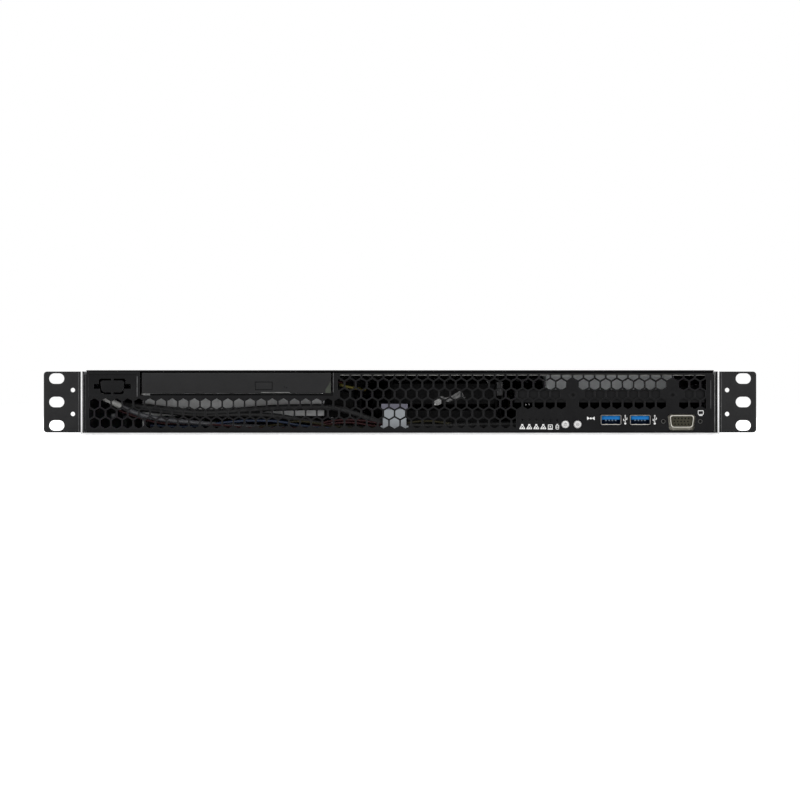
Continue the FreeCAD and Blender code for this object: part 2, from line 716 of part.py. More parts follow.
def ear():
    """The right-hand rack ear, with its three slots and two small holes."""
    path = [(SIDE, FRONT + EAR_LEG), (SIDE, FRONT), (EAR_TIP, FRONT)]
    low = EAR_MID - EAR_HEIGHT / 2
    high = EAR_MID + EAR_HEIGHT / 2
    sheet = folded("XY", path, EAR_SHEET, EAR_BEND, low, high)
    corners = []
    for z, way in ((low, 1), (high, -1)):
        z_in = z + way * EAR_CORNER
        square = box(EAR_TIP - EAR_CORNER, EAR_TIP + 1, FRONT - 1, FRONT + EAR_SHEET + 1,
                     min(z, z_in) - (way > 0), max(z, z_in) + (way < 0))
        round_off = cylinder("XZ", EAR_TIP - EAR_CORNER, z_in, EAR_CORNER, FRONT - 1,
                             FRONT + EAR_SHEET + 1)
        corners.append(square.cut(round_off))
    cuts = corners + [rack_slot(EAR_MID + k * SLOT_PITCH) for k in (-1, 0, 1)]
    for k in (-0.5, 0.5):
        z = EAR_MID + k * HANDLE_HOLE_SPACING
        cuts.append(cylinder("XZ", SIDE + HANDLE_HOLE_OFFSET, z, HANDLE_HOLE_R, FRONT - 1,
                             FRONT + EAR_SHEET + 1))
    for y in EAR_SCREW_Y:
        cuts.append(bore("YZ", FRONT + y, EAR_MID, EAR_SCREW_R + SCREW_FIT, SIDE - 1,
                        SIDE + EAR_SHEET + 1))
    return without(sheet, cuts)


def rack_slot(z):
    """A slot with round ends, running across the rack."""
    y0 = FRONT - 1
    y1 = FRONT + EAR_SHEET + 1
    radius = SLOT_HEIGHT / 2
    reach = SLOT_LENGTH / 2 - radius
    x = EAR_TIP - SLOT_EDGE
    middle = box(x - reach, x + reach, y0, y1, z - radius, z + radius)
    ends = [cylinder("XZ", x + way * reach, z, radius, y0, y1) for way in (-1, 1)]
    return joined([middle] + ends)


def mirrored(shape):
    """A shape on the other side of the middle plane."""
    return shape.mirror(V(0, 0, 0), V(1, 0, 0))


def ear_screws():
    """The screws that hold the right ear to its side wall."""
    made = []
    outer = SIDE + EAR_SHEET
    for y in EAR_SCREW_Y:
        head = rod("YZ", FRONT + y, EAR_MID, EAR_SCREW_HEAD_R, outer, outer + EAR_SCREW_HEAD)
        stem = rod("YZ", FRONT + y, EAR_MID, EAR_SCREW_R, INNER - PAN_SHEET, outer)
        made.append(joined([head, stem]))
    return made


def knob_z():
    """The height of the cover's thumbscrews."""
    return WALL_TOP - KNOB_TAB_DROP + KNOB_R + KNOB_EDGE


def top_cover():
    """The cover: folded side flanges that stand on the ledges, and two tabs at the rear."""
    top = WALL_TOP + COVER_SHEET
    half = COVER_HALF
    low = top - COVER_FLANGE
    path = [(half, low), (half, top), (-half, top), (-half, low)]
    sheet = folded("XZ", path, COVER_SHEET, COVER_BEND, FRONT, REAR)
    tabs = []
    for x in KNOB_XS:
        back = REAR + COVER_SHEET
        tab_path = [(back, top - KNOB_TAB_DROP), (back, top), (REAR - COVER_FLANGE, top)]
        tab = folded("YZ", tab_path, COVER_SHEET, SHARP, x - KNOB_TAB_WIDTH / 2,
                     x + KNOB_TAB_WIDTH / 2)
        tabs.append(tab)
    cuts = [bore("XZ", x, knob_z(), KNOB_STEM_R + SCREW_FIT, REAR - 1, REAR + COVER_SHEET + 1)
            for x in KNOB_XS]
    flange_front = FRONT + PANEL_FLANGE + SEAT_GAP
    for xs in ((-half - 1, 1 - half), (half - 1, half + 1)):
        cuts.append(box(xs[0], xs[1], FRONT - 1, flange_front, low - 1, top - COVER_SHEET))
    return without(joined([sheet] + tabs), cuts)


def cover_knobs():
    """Captive thumbscrews in the cover's rear tabs."""
    made = []
    for x in KNOB_XS:
        seat = REAR + COVER_SHEET
        head = rod("XZ", x, knob_z(), KNOB_R, seat, REAR + KNOB_REACH)
        stem = rod("XZ", x, knob_z(), KNOB_STEM_R, REAR - KNOB_STEM, seat)
        made.append(joined([head, stem]))
    return made


# ---- front panel ------------------------------------------------------------------------
def vent_holes():
    """The honeycomb, clipped to the vented regions and left out round the screws."""
    row_pitch = HEX_PITCH * math.sqrt(3) / 2
    left = VENT_LEFT_MARGIN - SIDE
    right = SIDE - VENT_RIGHT_MARGIN
    low_right = SHELF_LEFT + VENT_LAP
    upper_left = ODD_RIGHT + ODD_OPENING_GAP + VENT_UPPER_GAP
    regions = [(left, low_right)] * 2 + [(left, right)] + [(upper_left, right)] * 3
    holes = []
    count = int((right - left) / HEX_PITCH) + 3
    for row, (row_left, row_right) in enumerate(regions):
        z = HEX_FIRST_Z + row * row_pitch
        first = HEX_FIRST_OFFSET - SIDE - (row % 2) * HEX_PITCH / 2
        for k in range(count):
            x = first + k * HEX_PITCH
            if any(math.hypot(x - s, z - PANEL_SCREW_Z) < SCREW_BLANK_R for s in PANEL_SCREW_XS):
                continue
            points = clipped(hexagon(x, z, HEX_FLATS), row_left, row_right, 0, VENT_TOP)
            if len(points) > 2 and area(points) > VENT_MIN_AREA:
                holes.append(prism("XZ", points, FRONT - 1, FRONT + PANEL_SHEET + 1))
    return holes


def knockout():
    """The slits round the D-shaped blank, which two small tabs still hold."""
    y0 = FRONT - 1
    y1 = FRONT + PANEL_SHEET + 1
    x = KNOCKOUT_OFFSET - SIDE
    outer = d_outline(x, KNOCKOUT_Z, KNOCKOUT_WIDTH, KNOCKOUT_HEIGHT)
    inner = d_outline(x, KNOCKOUT_Z, KNOCKOUT_WIDTH - 2 * KNOCKOUT_SLIT,
                      KNOCKOUT_HEIGHT - 2 * KNOCKOUT_SLIT)
    tab = box(x - KNOCKOUT_TAB / 2, x + KNOCKOUT_TAB / 2, y0, y1,
              KNOCKOUT_Z - KNOCKOUT_HEIGHT, KNOCKOUT_Z + KNOCKOUT_HEIGHT)
    slit = without(prism("XZ", outer, y0, y1), [prism("XZ", inner, y0, y1), tab])
    wings = []
    half = KNOCKOUT_WIDTH / 2 - KNOCKOUT_SLIT
    for way in (-1, 1):
        ends = sorted((x + way * half, x + way * (half + KNOCKOUT_WING)))
        wings.append(box(ends[0], ends[1], y0, y1, KNOCKOUT_Z - KNOCKOUT_WING_HEIGHT / 2,
                         KNOCKOUT_Z + KNOCKOUT_WING_HEIGHT / 2))
    return [slit] + wings


def vga_opening():
    """The panel's opening round the monitor port, lower than the port itself."""
    return d_outline(VGA_X, VGA_Z - VGA_OPENING_DROP, VGA_WIDTH + VGA_OPENING_WIDER,
                     VGA_HEIGHT + VGA_OPENING_TALLER, taper=VGA_OPENING_TAPER)


def port_openings():
    """What is cut from the panel for ports, buttons, lamps and screws."""
    y0 = FRONT - 1
    y1 = FRONT + PANEL_SHEET + 1
    cuts = [bore("XZ", LED_X + k * LED_PITCH, LED_Z, LED_R, y0, y1, LED_SIDES)
            for k in range(LED_COUNT)]
    cuts += [bore("XZ", x, BUTTON_Z, BUTTON_R + RUN_GAP, y0, y1, BUTTON_SIDES) for x in BUTTON_XS]
    half_width = USB_WIDTH / 2 + PORT_CLEAR
    half_height = USB_HEIGHT / 2 + PORT_CLEAR
    cuts += [box(x - half_width, x + half_width, y0, y1, USB_Z - half_height,
                 USB_Z + half_height) for x in USB_XS]
    cuts.append(prism("XZ", vga_opening(), y0, y1))
    cuts += [bore("XZ", VGA_X + way * JACK_SPACING / 2, VGA_Z, JACK_HOLE_R, y0, y1)
             for way in (-1, 1)]
    for x in PANEL_SCREW_XS:
        cuts.append(countersink(x, PANEL_SCREW_Z, FRONT, PANEL_SCREW_HEAD_R + SCREW_FIT,
                                PANEL_SCREW_R + SCREW_FIT, PANEL_SHEET))
    return cuts


def front_panel():
    """The black front: vented face, folded top, bottom and side flanges."""
    half = INNER - PANEL_SIDE_GAP
    flat_half = half - PANEL_SHEET - PANEL_BEND
    odd_left = ODD_LEFT - ODD_OPENING_GAP
    odd_right = ODD_RIGHT + ODD_OPENING_GAP
    bend = PANEL_SHEET + PANEL_BEND
    back = FRONT + PANEL_FLANGE
    foot = FRONT + PANEL_FOOT
    path = [(back, PANEL_TOP), (FRONT, PANEL_TOP), (FRONT, FLOOR), (foot, FLOOR)]
    main = folded("YZ", path, PANEL_SHEET, PANEL_BEND, odd_right, flat_half)
    sill_top = BEZEL_BOTTOM - ODD_OPENING_GAP
    sill_path = [(FRONT, sill_top), (FRONT, FLOOR), (foot, FLOOR)]
    sill = folded("YZ", sill_path, PANEL_SHEET, PANEL_BEND, odd_left, odd_right)
    post_path = [(FRONT, WALL_TOP - SEAT_GAP), (FRONT, FLOOR), (foot, FLOOR)]
    post = folded("YZ", post_path, PANEL_SHEET, PANEL_BEND, -flat_half, odd_left)
    side_path = [(flat_half, FRONT), (half, FRONT), (half, back)]
    side = folded("XY", side_path, PANEL_SHEET, PANEL_BEND, FLOOR + bend, PANEL_TOP - bend)
    plate = joined([main, sill, post, side, mirrored(side)])
    pocket = box(POCKET_LEFT_MARGIN - SIDE, ODD_LEFT - POCKET_RIGHT_GAP, FRONT - 1,
                 FRONT + POCKET_DEPTH, POCKET_LOW, POCKET_HIGH)
    return without(plate, [pocket] + knockout() + vent_holes() + port_openings())


def panel_screws():
    """Two flat-head screws that hold the shelf's strip to the panel."""
    made = []
    for x in PANEL_SCREW_XS:
        head = countersink(x, PANEL_SCREW_Z, FRONT, PANEL_SCREW_HEAD_R, PANEL_SCREW_R,
                           PANEL_SHEET)
        stem = rod("XZ", x, PANEL_SCREW_Z, PANEL_SCREW_R, FRONT + PANEL_SHEET,
                   FRONT + PANEL_SCREW_LENGTH)
        made.append(joined([head, stem]))
    return made


# ---- optical drive ----------------------------------------------------------------------
def bezel_back():
    """Where the bezel ends and the tray and case begin."""
    return FRONT - BEZEL_PROUD + BEZEL_THICK


def optical_case():
    """The drive's thin case, open at the front."""
    y0 = bezel_back() + RUN_GAP
    outer = box(ODD_LEFT, ODD_RIGHT, y0, y0 + ODD_CASE_DEPTH, ODD_BOTTOM,
                ODD_BOTTOM + ODD_CASE_HEIGHT)
    inner = box(ODD_LEFT + ODD_CASE_SHEET, ODD_RIGHT - ODD_CASE_SHEET, y0 - 1,
                y0 + ODD_CASE_DEPTH - ODD_CASE_SHEET, ODD_BOTTOM + ODD_CASE_SHEET,
                ODD_BOTTOM + ODD_CASE_HEIGHT - ODD_CASE_SHEET)
    return outer.cut(inner)


def tray_box():
    """The tray's block: left, right, front, back, bottom, top."""
    side = ODD_CASE_SHEET + TRAY_CLEAR
    low = ODD_BOTTOM + ODD_CASE_SHEET + TRAY_CLEAR
    y0 = bezel_back()
    return ODD_LEFT + side, ODD_RIGHT - side, y0, y0 + TRAY_LENGTH, low, low + TRAY_HEIGHT


def disc_centre():
    """The middle of the disc recess."""
    left, right, front, back, _, _ = tray_box()
    return (left + right) / 2, (front + back) / 2 + DISC_OFFSET


def optical_tray():
    """The sliding tray with its disc recess, hub bore and room for the eject button."""
    left, right, front, back, low, top = tray_box()
    x, y = disc_centre()
    floor = top - DISC_RECESS
    half = EJECT_WIDTH / 2 + EJECT_STEM + RUN_GAP
    button_room = box(EJECT_X - half, EJECT_X + half, front - 1, front + EJECT_ROOM, low - 1,
                      floor - EJECT_ROOF)
    cuts = [
        bore("XY", x, y, DISC_R, floor, top + 1, DISC_SIDES),
        bore("XY", x, y, HUB_SHAFT_R + SHAFT_FIT, floor - HUB_SHAFT - RUN_GAP, floor + 1),
        button_room,
    ]
    return without(box(left, right, front, back, low, top), cuts)


def disc_hub():
    """The spindle hub that a disc clips on."""
    x, y = disc_centre()
    floor = tray_box()[5] - DISC_RECESS
    hub = rod("XY", x, y, HUB_R, floor + RUN_GAP, floor + RUN_GAP + HUB_HEIGHT)
    shaft = rod("XY", x, y, HUB_SHAFT_R, floor - HUB_SHAFT, floor + RUN_GAP)
    return joined([hub, shaft])


def optical_bezel():
    """The bezel, with the button's opening and a finger lip in its lower edge."""
    y0 = FRONT - BEZEL_PROUD
    y1 = bezel_back()
    body = box(ODD_LEFT, ODD_RIGHT, y0, y1, BEZEL_BOTTOM, BEZEL_BOTTOM + BEZEL_HEIGHT)
    half = EJECT_WIDTH / 2 + RUN_GAP
    tall = EJECT_HEIGHT / 2 + RUN_GAP
    opening = box(EJECT_X - half, EJECT_X + half, y0 - 1, y1 + 1, EJECT_Z - tall, EJECT_Z + tall)
    middle = ODD_RIGHT - BEZEL_LIP_FROM_RIGHT
    lip = prism("YZ", [(y0 - 1, BEZEL_BOTTOM - 1), (y0 + BEZEL_LIP, BEZEL_BOTTOM - 1),
                       (y0 + BEZEL_LIP, BEZEL_BOTTOM), (y0, BEZEL_BOTTOM + BEZEL_LIP),
                       (y0 - 1, BEZEL_BOTTOM + BEZEL_LIP)],
                middle - BEZEL_LIP_LENGTH / 2, middle + BEZEL_LIP_LENGTH / 2)
    return without(body, [opening, lip])


def eject_button():
    """The eject button, with a wider back that keeps it behind the bezel."""
    front = FRONT - BEZEL_PROUD
    back = bezel_back() + RUN_GAP
    cap = box(EJECT_X - EJECT_WIDTH / 2, EJECT_X + EJECT_WIDTH / 2, front, back,
              EJECT_Z - EJECT_HEIGHT / 2, EJECT_Z + EJECT_HEIGHT / 2)
    half = EJECT_WIDTH / 2 + EJECT_STEM
    low = tray_box()[4] + RUN_GAP
    foot = box(EJECT_X - half, EJECT_X + half, back, back + EJECT_FOOT, low,
               EJECT_Z + EJECT_HEIGHT / 2)
    return joined([cap, foot])


def optical_bracket():
    """The bridge under the optical drive, with feet on the floor and a face turned down."""
    left = ODD_LEFT - BRACKET_OVERHANG
    right = ODD_RIGHT + BRACKET_OVERHANG
    foot = FLOOR + BRACKET_SHEET
    path = [(right + BRACKET_FOOT, foot), (right, foot), (right, ODD_BOTTOM),
            (left, ODD_BOTTOM), (left, foot), (left - BRACKET_FOOT, foot)]
    y0 = FRONT + BRACKET_TABLE_BACK
    bridge = folded("XZ", path, BRACKET_SHEET, SHARP, y0, bezel_back() + ODD_CASE_DEPTH)
    face_path = [(y0, ODD_BOTTOM), (FRONT + BRACKET_FACE_BACK, ODD_BOTTOM),
                 (FRONT + BRACKET_FACE_BACK, BRACKET_FACE_LOW)]
    inset = BRACKET_SHEET
    face = folded("YZ", face_path, BRACKET_SHEET, SHARP, left + inset, right - inset)
    return joined([bridge, face])


# ---- front port group -------------------------------------------------------------------
def port_board():
    """The small board behind the ports, notched for the buttons and the monitor port."""
    front = FRONT + PORT_BOARD_FRONT
    notch = FRONT + BUTTON_LENGTH
    vga_front = FRONT + vga_flange_back() + SEAT_GAP
    back = FRONT + PORT_BOARD_DEPTH
    button_left = BUTTON_XS[0] - BUTTON_R - BUTTON_NOTCH
    button_right = BUTTON_XS[-1] + BUTTON_R + BUTTON_NOTCH
    vga_left = VGA_X - VGA_FLANGE_WIDTH / 2 - VGA_NOTCH
    points = [
        (PORT_BOARD_LEFT, front), (button_left, front), (button_left, notch),
        (button_right, notch), (button_right, front), (vga_left, front), (vga_left, vga_front),
        (PORT_BOARD_RIGHT, vga_front), (PORT_BOARD_RIGHT, back), (PORT_BOARD_LEFT, back),
    ]
    return prism("XY", points, PORT_BOARD_TOP - BOARD_THICK, PORT_BOARD_TOP)


def port_spacers():
    """Short hexagonal spacers under the port board."""
    low = PORT_BOARD_TOP - BOARD_THICK
    xs = (PORT_BOARD_LEFT + SPACER_INSET, PORT_BOARD_RIGHT - SPACER_INSET)
    ys = (FRONT + SPACER_FRONT, FRONT + PORT_BOARD_DEPTH - SPACER_INSET)
    return [prism("XY", hexagon(x, y, STANDOFF_FLATS), FLOOR, low) for x in xs for y in ys]


def lamp_bar():
    """The clear moulding that carries the lamps' light to the six holes."""
    left = LED_X - LAMP_BAR_LEFT
    right = LED_X + (LED_COUNT - 1) * LED_PITCH + LAMP_BAR_RIGHT
    front = FRONT + PORT_BOARD_FRONT
    return box(left, right, front, front + LAMP_BAR_DEPTH, PORT_BOARD_TOP, LED_Z + LAMP_BAR_RISE)


def front_button(x):
    """A round button with a collar behind the panel."""
    front = FRONT - FRONT_REACH
    collar = FRONT + PANEL_SHEET + RUN_GAP
    stem = rod("XZ", x, BUTTON_Z, BUTTON_R, front, front + BUTTON_LENGTH, BUTTON_SIDES)
    stop = rod("XZ", x, BUTTON_Z, BUTTON_R + BUTTON_FLANGE, collar, collar + BUTTON_COLLAR,
               BUTTON_SIDES)
    return joined([stem, stop])


def button_switches():
    """The two small switches that the buttons press."""
    front = FRONT - FRONT_REACH + BUTTON_LENGTH + BUTTON_TRAVEL + SEAT_GAP
    edge = FRONT + BUTTON_LENGTH
    made = []
    for x in BUTTON_XS:
        body = box(x - SWITCH_WIDTH / 2, x + SWITCH_WIDTH / 2, edge, edge + SWITCH_DEPTH,
                   PORT_BOARD_TOP, BUTTON_Z + SWITCH_RISE)
        half = SWITCH_NIB / 2
        nib = box(x - half, x + half, front, edge, BUTTON_Z - half, BUTTON_Z + half)
        made.append(joined([body, nib]))
    return made


def usb_shells():
    """The two formed metal shells."""
    made = []
    for x in USB_XS:
        y0 = FRONT - USB_PROUD
        half = USB_WIDTH / 2
        tall = USB_HEIGHT / 2
        outer = box(x - half, x + half, y0, y0 + USB_DEPTH, USB_Z - tall, USB_Z + tall)
        inner = box(x - half + USB_SHEET, x + half - USB_SHEET, y0 - 1, y0 + USB_DEPTH + 1,
                    USB_Z - tall + USB_SHEET, USB_Z + tall - USB_SHEET)
        made.append(outer.cut(inner))
    return made


def usb_inserts():
    """The coloured mouldings: a tongue, a back and a foot that stands on the board."""
    made = []
    for x in USB_XS:
        back = FRONT - USB_PROUD + USB_DEPTH
        half = USB_WIDTH / 2 - USB_SHEET
        low = USB_Z - USB_HEIGHT / 2 + USB_SHEET
        high = USB_Z + USB_HEIGHT / 2 - USB_SHEET
        tongue = box(x - half + USB_TONGUE_INSET, x + half - USB_TONGUE_INSET,
                     FRONT + USB_TONGUE_FRONT, back - USB_BACK, USB_Z + USB_TONGUE_LOW,
                     high - USB_TONGUE_HIGH)
        plug = box(x - half, x + half, back - USB_BACK, back, low, high)
        heel = box(x - half, x + half, back, back + USB_HEEL, PORT_BOARD_TOP, high)
        foot = box(x - half, x + half, FRONT + PORT_BOARD_FRONT, back, PORT_BOARD_TOP,
                   USB_Z - USB_HEIGHT / 2)
        made.append(joined([tongue, plug, heel, foot]))
    return made


def vga_flange_back():
    """How far the monitor port's flange reaches behind the panel's face."""
    return VGA_SHELL - FRONT_REACH + VGA_FLANGE


def vga_shell():
    """The monitor port's drawn shell and flange."""
    tip = FRONT - FRONT_REACH
    seat = tip + VGA_SHELL
    outer = prism("XZ", d_outline(VGA_X, VGA_Z, VGA_WIDTH, VGA_HEIGHT), tip, seat)
    inner = d_outline(VGA_X, VGA_Z, VGA_WIDTH - 2 * VGA_SHELL_SHEET,
                      VGA_HEIGHT - 2 * VGA_SHELL_SHEET)
    flange = box(VGA_X - VGA_FLANGE_WIDTH / 2, VGA_X + VGA_FLANGE_WIDTH / 2, seat,
                 seat + VGA_FLANGE, VGA_Z - VGA_FLANGE_HEIGHT / 2, VGA_Z + VGA_FLANGE_HEIGHT / 2)
    return joined([outer, flange]).cut(prism("XZ", inner, tip - 1, seat + VGA_FLANGE + 1))


def vga_insert():
    """The moulding inside the shell and the body on the board."""
    tip = FRONT - FRONT_REACH + VGA_CORE_BACK
    seat = FRONT + vga_flange_back()
    wall = 2 * (VGA_SHELL_SHEET + VGA_CORE_FIT)
    face = d_outline(VGA_X, VGA_Z, VGA_WIDTH - wall, VGA_HEIGHT - wall)
    core = prism("XZ", face, tip, seat)
    body = box(VGA_X - VGA_BODY_WIDTH / 2, VGA_X + VGA_BODY_WIDTH / 2, seat,
               seat + VGA_BODY_DEPTH, PORT_BOARD_TOP, VGA_Z + VGA_FLANGE_HEIGHT / 2)
    return joined([core, body])


def vga_jack_nuts():
    """Hexagonal nuts between the panel and the port's flange."""
    seat = FRONT - FRONT_REACH + VGA_SHELL
    return [prism("XZ", hexagon(VGA_X + way * JACK_SPACING / 2, VGA_Z, JACK_NUT_FLATS),
                  FRONT + PANEL_SHEET, seat) for way in (-1, 1)]


# ---- shelf and drives -------------------------------------------------------------------
def drive_shelf():
    """The black shelf: a strip against the panel, a deck, and a leg at the back."""
    near = FRONT + PANEL_SHEET
    far = FRONT + SHELF_DEPTH
    path = [(near, SHELF_TOP), (near, SHELF_BOTTOM), (far, SHELF_BOTTOM), (far, FLOOR),
            (far + SHELF_SHEET + SHELF_FOOT, FLOOR)]
    sheet = folded("YZ", path, SHELF_SHEET, SHARP, SHELF_LEFT, SHELF_RIGHT)
    holes = [bore("XZ", x, PANEL_SCREW_Z, PANEL_SCREW_R + SCREW_FIT, near - 1, near + 2)
             for x in PANEL_SCREW_XS]
    return without(sheet, holes)


def drive(left, front, low):
    """A 2.5-inch drive: a body with a slightly smaller top plate."""
    top = low + DRIVE_HEIGHT
    body = box(left, left + DRIVE_WIDTH, front, front + DRIVE_DEPTH, low, top - DRIVE_COVER)
    inset = DRIVE_COVER_INSET
    lid = box(left + inset, left + DRIVE_WIDTH - inset, front + DRIVE_COVER_FRONT,
              front + DRIVE_DEPTH - inset, top - DRIVE_COVER, top)
    return joined([body, lid])


def upper_cage():
    """The pale drive cage on the shelf, with a face towards the panel."""
    low = SHELF_BOTTOM + SHELF_SHEET
    right = UPPER_CAGE_LEFT + UPPER_CAGE_WIDTH
    front = FRONT + UPPER_CAGE_FRONT
    path = [(UPPER_CAGE_LEFT, UPPER_CAGE_TOP), (UPPER_CAGE_LEFT, low), (right, low),
            (right, UPPER_CAGE_TOP)]
    bend = CAGE_SHEET
    trough = folded("XZ", path, CAGE_SHEET, SHARP, front, front + DRIVE_DEPTH)
    face_path = [(front, UPPER_CAGE_TOP), (front, low), (front + 2 * bend, low)]
    face = folded("YZ", face_path, CAGE_SHEET, SHARP, UPPER_CAGE_LEFT + bend, right - bend)
    return joined([trough, face])


def upper_drive():
    """The drive in the upper cage."""
    middle = UPPER_CAGE_LEFT + UPPER_CAGE_WIDTH / 2
    low = SHELF_BOTTOM + SHELF_SHEET + CAGE_SHEET
    return drive(middle - DRIVE_WIDTH / 2, FRONT + UPPER_CAGE_FRONT + UPPER_DRIVE_INSET, low)


def lower_cage():
    """The cage on the floor, with a small tab turned out at its front edge."""
    inner = DRIVE_WIDTH + 2 * SEAT_GAP
    right = LOWER_CAGE_LEFT + inner + 2 * CAGE_SHEET
    front = FRONT + LOWER_CAGE_FRONT
    path = [(LOWER_CAGE_LEFT, LOWER_CAGE_TOP), (LOWER_CAGE_LEFT, FLOOR), (right, FLOOR),
            (right, LOWER_CAGE_TOP)]
    trough = folded("XZ", path, CAGE_SHEET, SHARP, front, front + DRIVE_DEPTH)
    tab = box(right, right + LOWER_CAGE_TAB, front, front + CAGE_SHEET, LOWER_CAGE_TAB_Z[0],
              LOWER_CAGE_TAB_Z[1])
    return joined([trough, tab])


def lower_drives():
    """Two drives, one above the other."""
    left = LOWER_CAGE_LEFT + CAGE_SHEET + SEAT_GAP
    low = FLOOR + CAGE_SHEET
    step = DRIVE_HEIGHT + DRIVE_GAP
    front = FRONT + LOWER_CAGE_FRONT + LOWER_DRIVE_INSET
    return [drive(left, front, low + k * step) for k in (0, 1)]


# ---- fans -------------------------------------------------------------------------------
def fan_z():
    """The height of the fans' axes."""
    return FLOOR + FAN_SIZE / 2


def fan_frame(x):
    """A fan's square frame with its stator, struts and shaft."""
    y0 = FRONT + BAY_DEPTH
    y1 = y0 + FAN_DEPTH
    z = fan_z()
    half = FAN_SIZE / 2
    frame = box(x - half, x + half, y0, y1, z - half, z + half)
    duct = frame.cut(bore("XZ", x, z, FAN_BORE_R, y0 - 1, y1 + 1, DUCT_SIDES))
    reach = half - FAN_STRUT_INSET
    bars = [
        box(x - reach, x + reach, y1 - FAN_STATOR, y1, z - FAN_STRUT / 2, z + FAN_STRUT / 2),
        box(x - FAN_STRUT / 2, x + FAN_STRUT / 2, y1 - FAN_STATOR, y1, z - reach, z + reach),
    ]
    stator = rod("XZ", x, z, FAN_HUB_R, y1 - FAN_STATOR, y1)
    shaft = rod("XZ", x, z, FAN_SHAFT_R, y0 + FAN_SHAFT_START, y1 - FAN_STATOR)
    return joined([duct, stator, shaft] + bars)


def fan_rotor(x, y0, z, length):
    """A hub with pitched blades, bored for its shaft."""
    hub = rod("XZ", x, z, FAN_HUB_R, y0, y0 + length)
    well = bore("XZ", x, z, FAN_SHAFT_R + SHAFT_FIT, y0 + FAN_WELL, y0 + length + 1)
    reach = FAN_BORE_R - FAN_TIP_GAP
    slant = (length - FAN_WELL) / math.cos(math.radians(FAN_BLADE_ANGLE))
    blade_length = slant * FAN_BLADE_SHARE
    middle = y0 + length / 2
    parts = [hub]
    for k in range(FAN_BLADES):
        blade = box(-FAN_BLADE / 2, FAN_BLADE / 2, -blade_length / 2, blade_length / 2,
                    FAN_HUB_R - FAN_BLADE_ROOT, reach - FAN_BLADE_TIP)
        blade.rotate(V(0, 0, 0), V(0, 0, 1), FAN_BLADE_ANGLE)
        blade.rotate(V(0, 0, 0), V(0, 1, 0), 360 / FAN_BLADES * k)
        blade.translate(V(x, middle, z))
        parts.append(blade)
    return joined(parts).cut(well)


def case_fan_rotor(x):
    """The rotor of one case fan."""
    y0 = FRONT + BAY_DEPTH + FAN_ROTOR_INSET
    return fan_rotor(x, y0, fan_z(), FAN_DEPTH - FAN_ROTOR_INSET - FAN_STATOR - 2 * RUN_GAP)


def fan_bracket():
    """The upright plate that the fans are screwed to, with a foot on the floor."""
    back = FRONT + BAY_DEPTH
    left = FAN_XS[0] - FAN_SIZE / 2 - FAN_BRACKET_MARGIN
    right = FAN_XS[-1] + FAN_SIZE / 2 + FAN_BRACKET_MARGIN
    path = [(back - FAN_BRACKET_FOOT, FLOOR), (back, FLOOR), (back, FLOOR + FAN_SIZE)]
    sheet = folded("YZ", path, FAN_BRACKET_SHEET, SHARP, left, right)
    y0 = back - FAN_BRACKET_SHEET - 1
    return without(sheet, [bore("XZ", x, fan_z(), FAN_BORE_R, y0, back + 1, DUCT_SIDES)
                           for x in FAN_XS])


# ---- mainboard --------------------------------------------------------------------------
def board_z():
    """The top of the mainboard."""
    return FLOOR + MAIN_STANDOFF + BOARD_THICK


def board_front():
    """The mainboard's front edge."""
    return REAR_IN - MAIN_REAR_GAP - MAIN_SIZE


def mainboard():
    """The bare board."""
    y0 = board_front()
    return box(MAIN_LEFT, MAIN_LEFT + MAIN_SIZE, y0, y0 + MAIN_SIZE, board_z() - BOARD_THICK,
               board_z())


def standoffs():
    """Hexagonal standoffs between the floor and the mainboard."""
    y0 = board_front()
    shares = (0.0, 0.5, 1.0)
    span = MAIN_SIZE - 2 * STANDOFF_INSET
    made = []
    for a in shares:
        for b in shares:
            x = MAIN_LEFT + STANDOFF_INSET + a * span
            y = y0 + STANDOFF_INSET + b * span
            made.append(prism("XY", hexagon(x, y, STANDOFF_FLATS), FLOOR, board_z() - BOARD_THICK))
    return made


def finned(left, front, width, depth, low, base, top, fins, fin):
    """A heatsink whose fins run front to back."""
    pitch = (width - fin) / (fins - 1)
    points = [(left, low), (left + width, low)]
    for k in reversed(range(fins)):
        x = left + k * pitch
        points += [(x + fin, top), (x, top)]
        if k:
            points += [(x, low + base), (x - pitch + fin, low + base)]
    return prism("XZ", points, front, front + depth)


def cpu_socket():
    """The processor in its socket, under the heatsink."""
    middle_x = SINK_X + SINK_SIZE / 2
    middle_y = board_front() + SINK_Y + SINK_SIZE / 2
    half = SOCKET_SIZE / 2
    return box(middle_x - half, middle_x + half, middle_y - half, middle_y + half, board_z(),
               board_z() + SOCKET_HEIGHT)


def cpu_heatsink():
    """The passive heatsink on the processor."""
    return finned(SINK_X, board_front() + SINK_Y, SINK_SIZE, SINK_SIZE,
                  board_z() + SOCKET_HEIGHT, SINK_BASE, SINK_TOP, SINK_FINS, SINK_FIN)


def chipset_heatsink():
    """The small heatsink on the chipset."""
    return finned(CHIP_SINK_X, board_front() + CHIP_SINK_Y, CHIP_SINK_SIZE, CHIP_SINK_SIZE,
                  board_z(), CHIP_SINK_BASE, board_z() + CHIP_SINK_HEIGHT, CHIP_SINK_FINS,
                  CHIP_SINK_FIN)


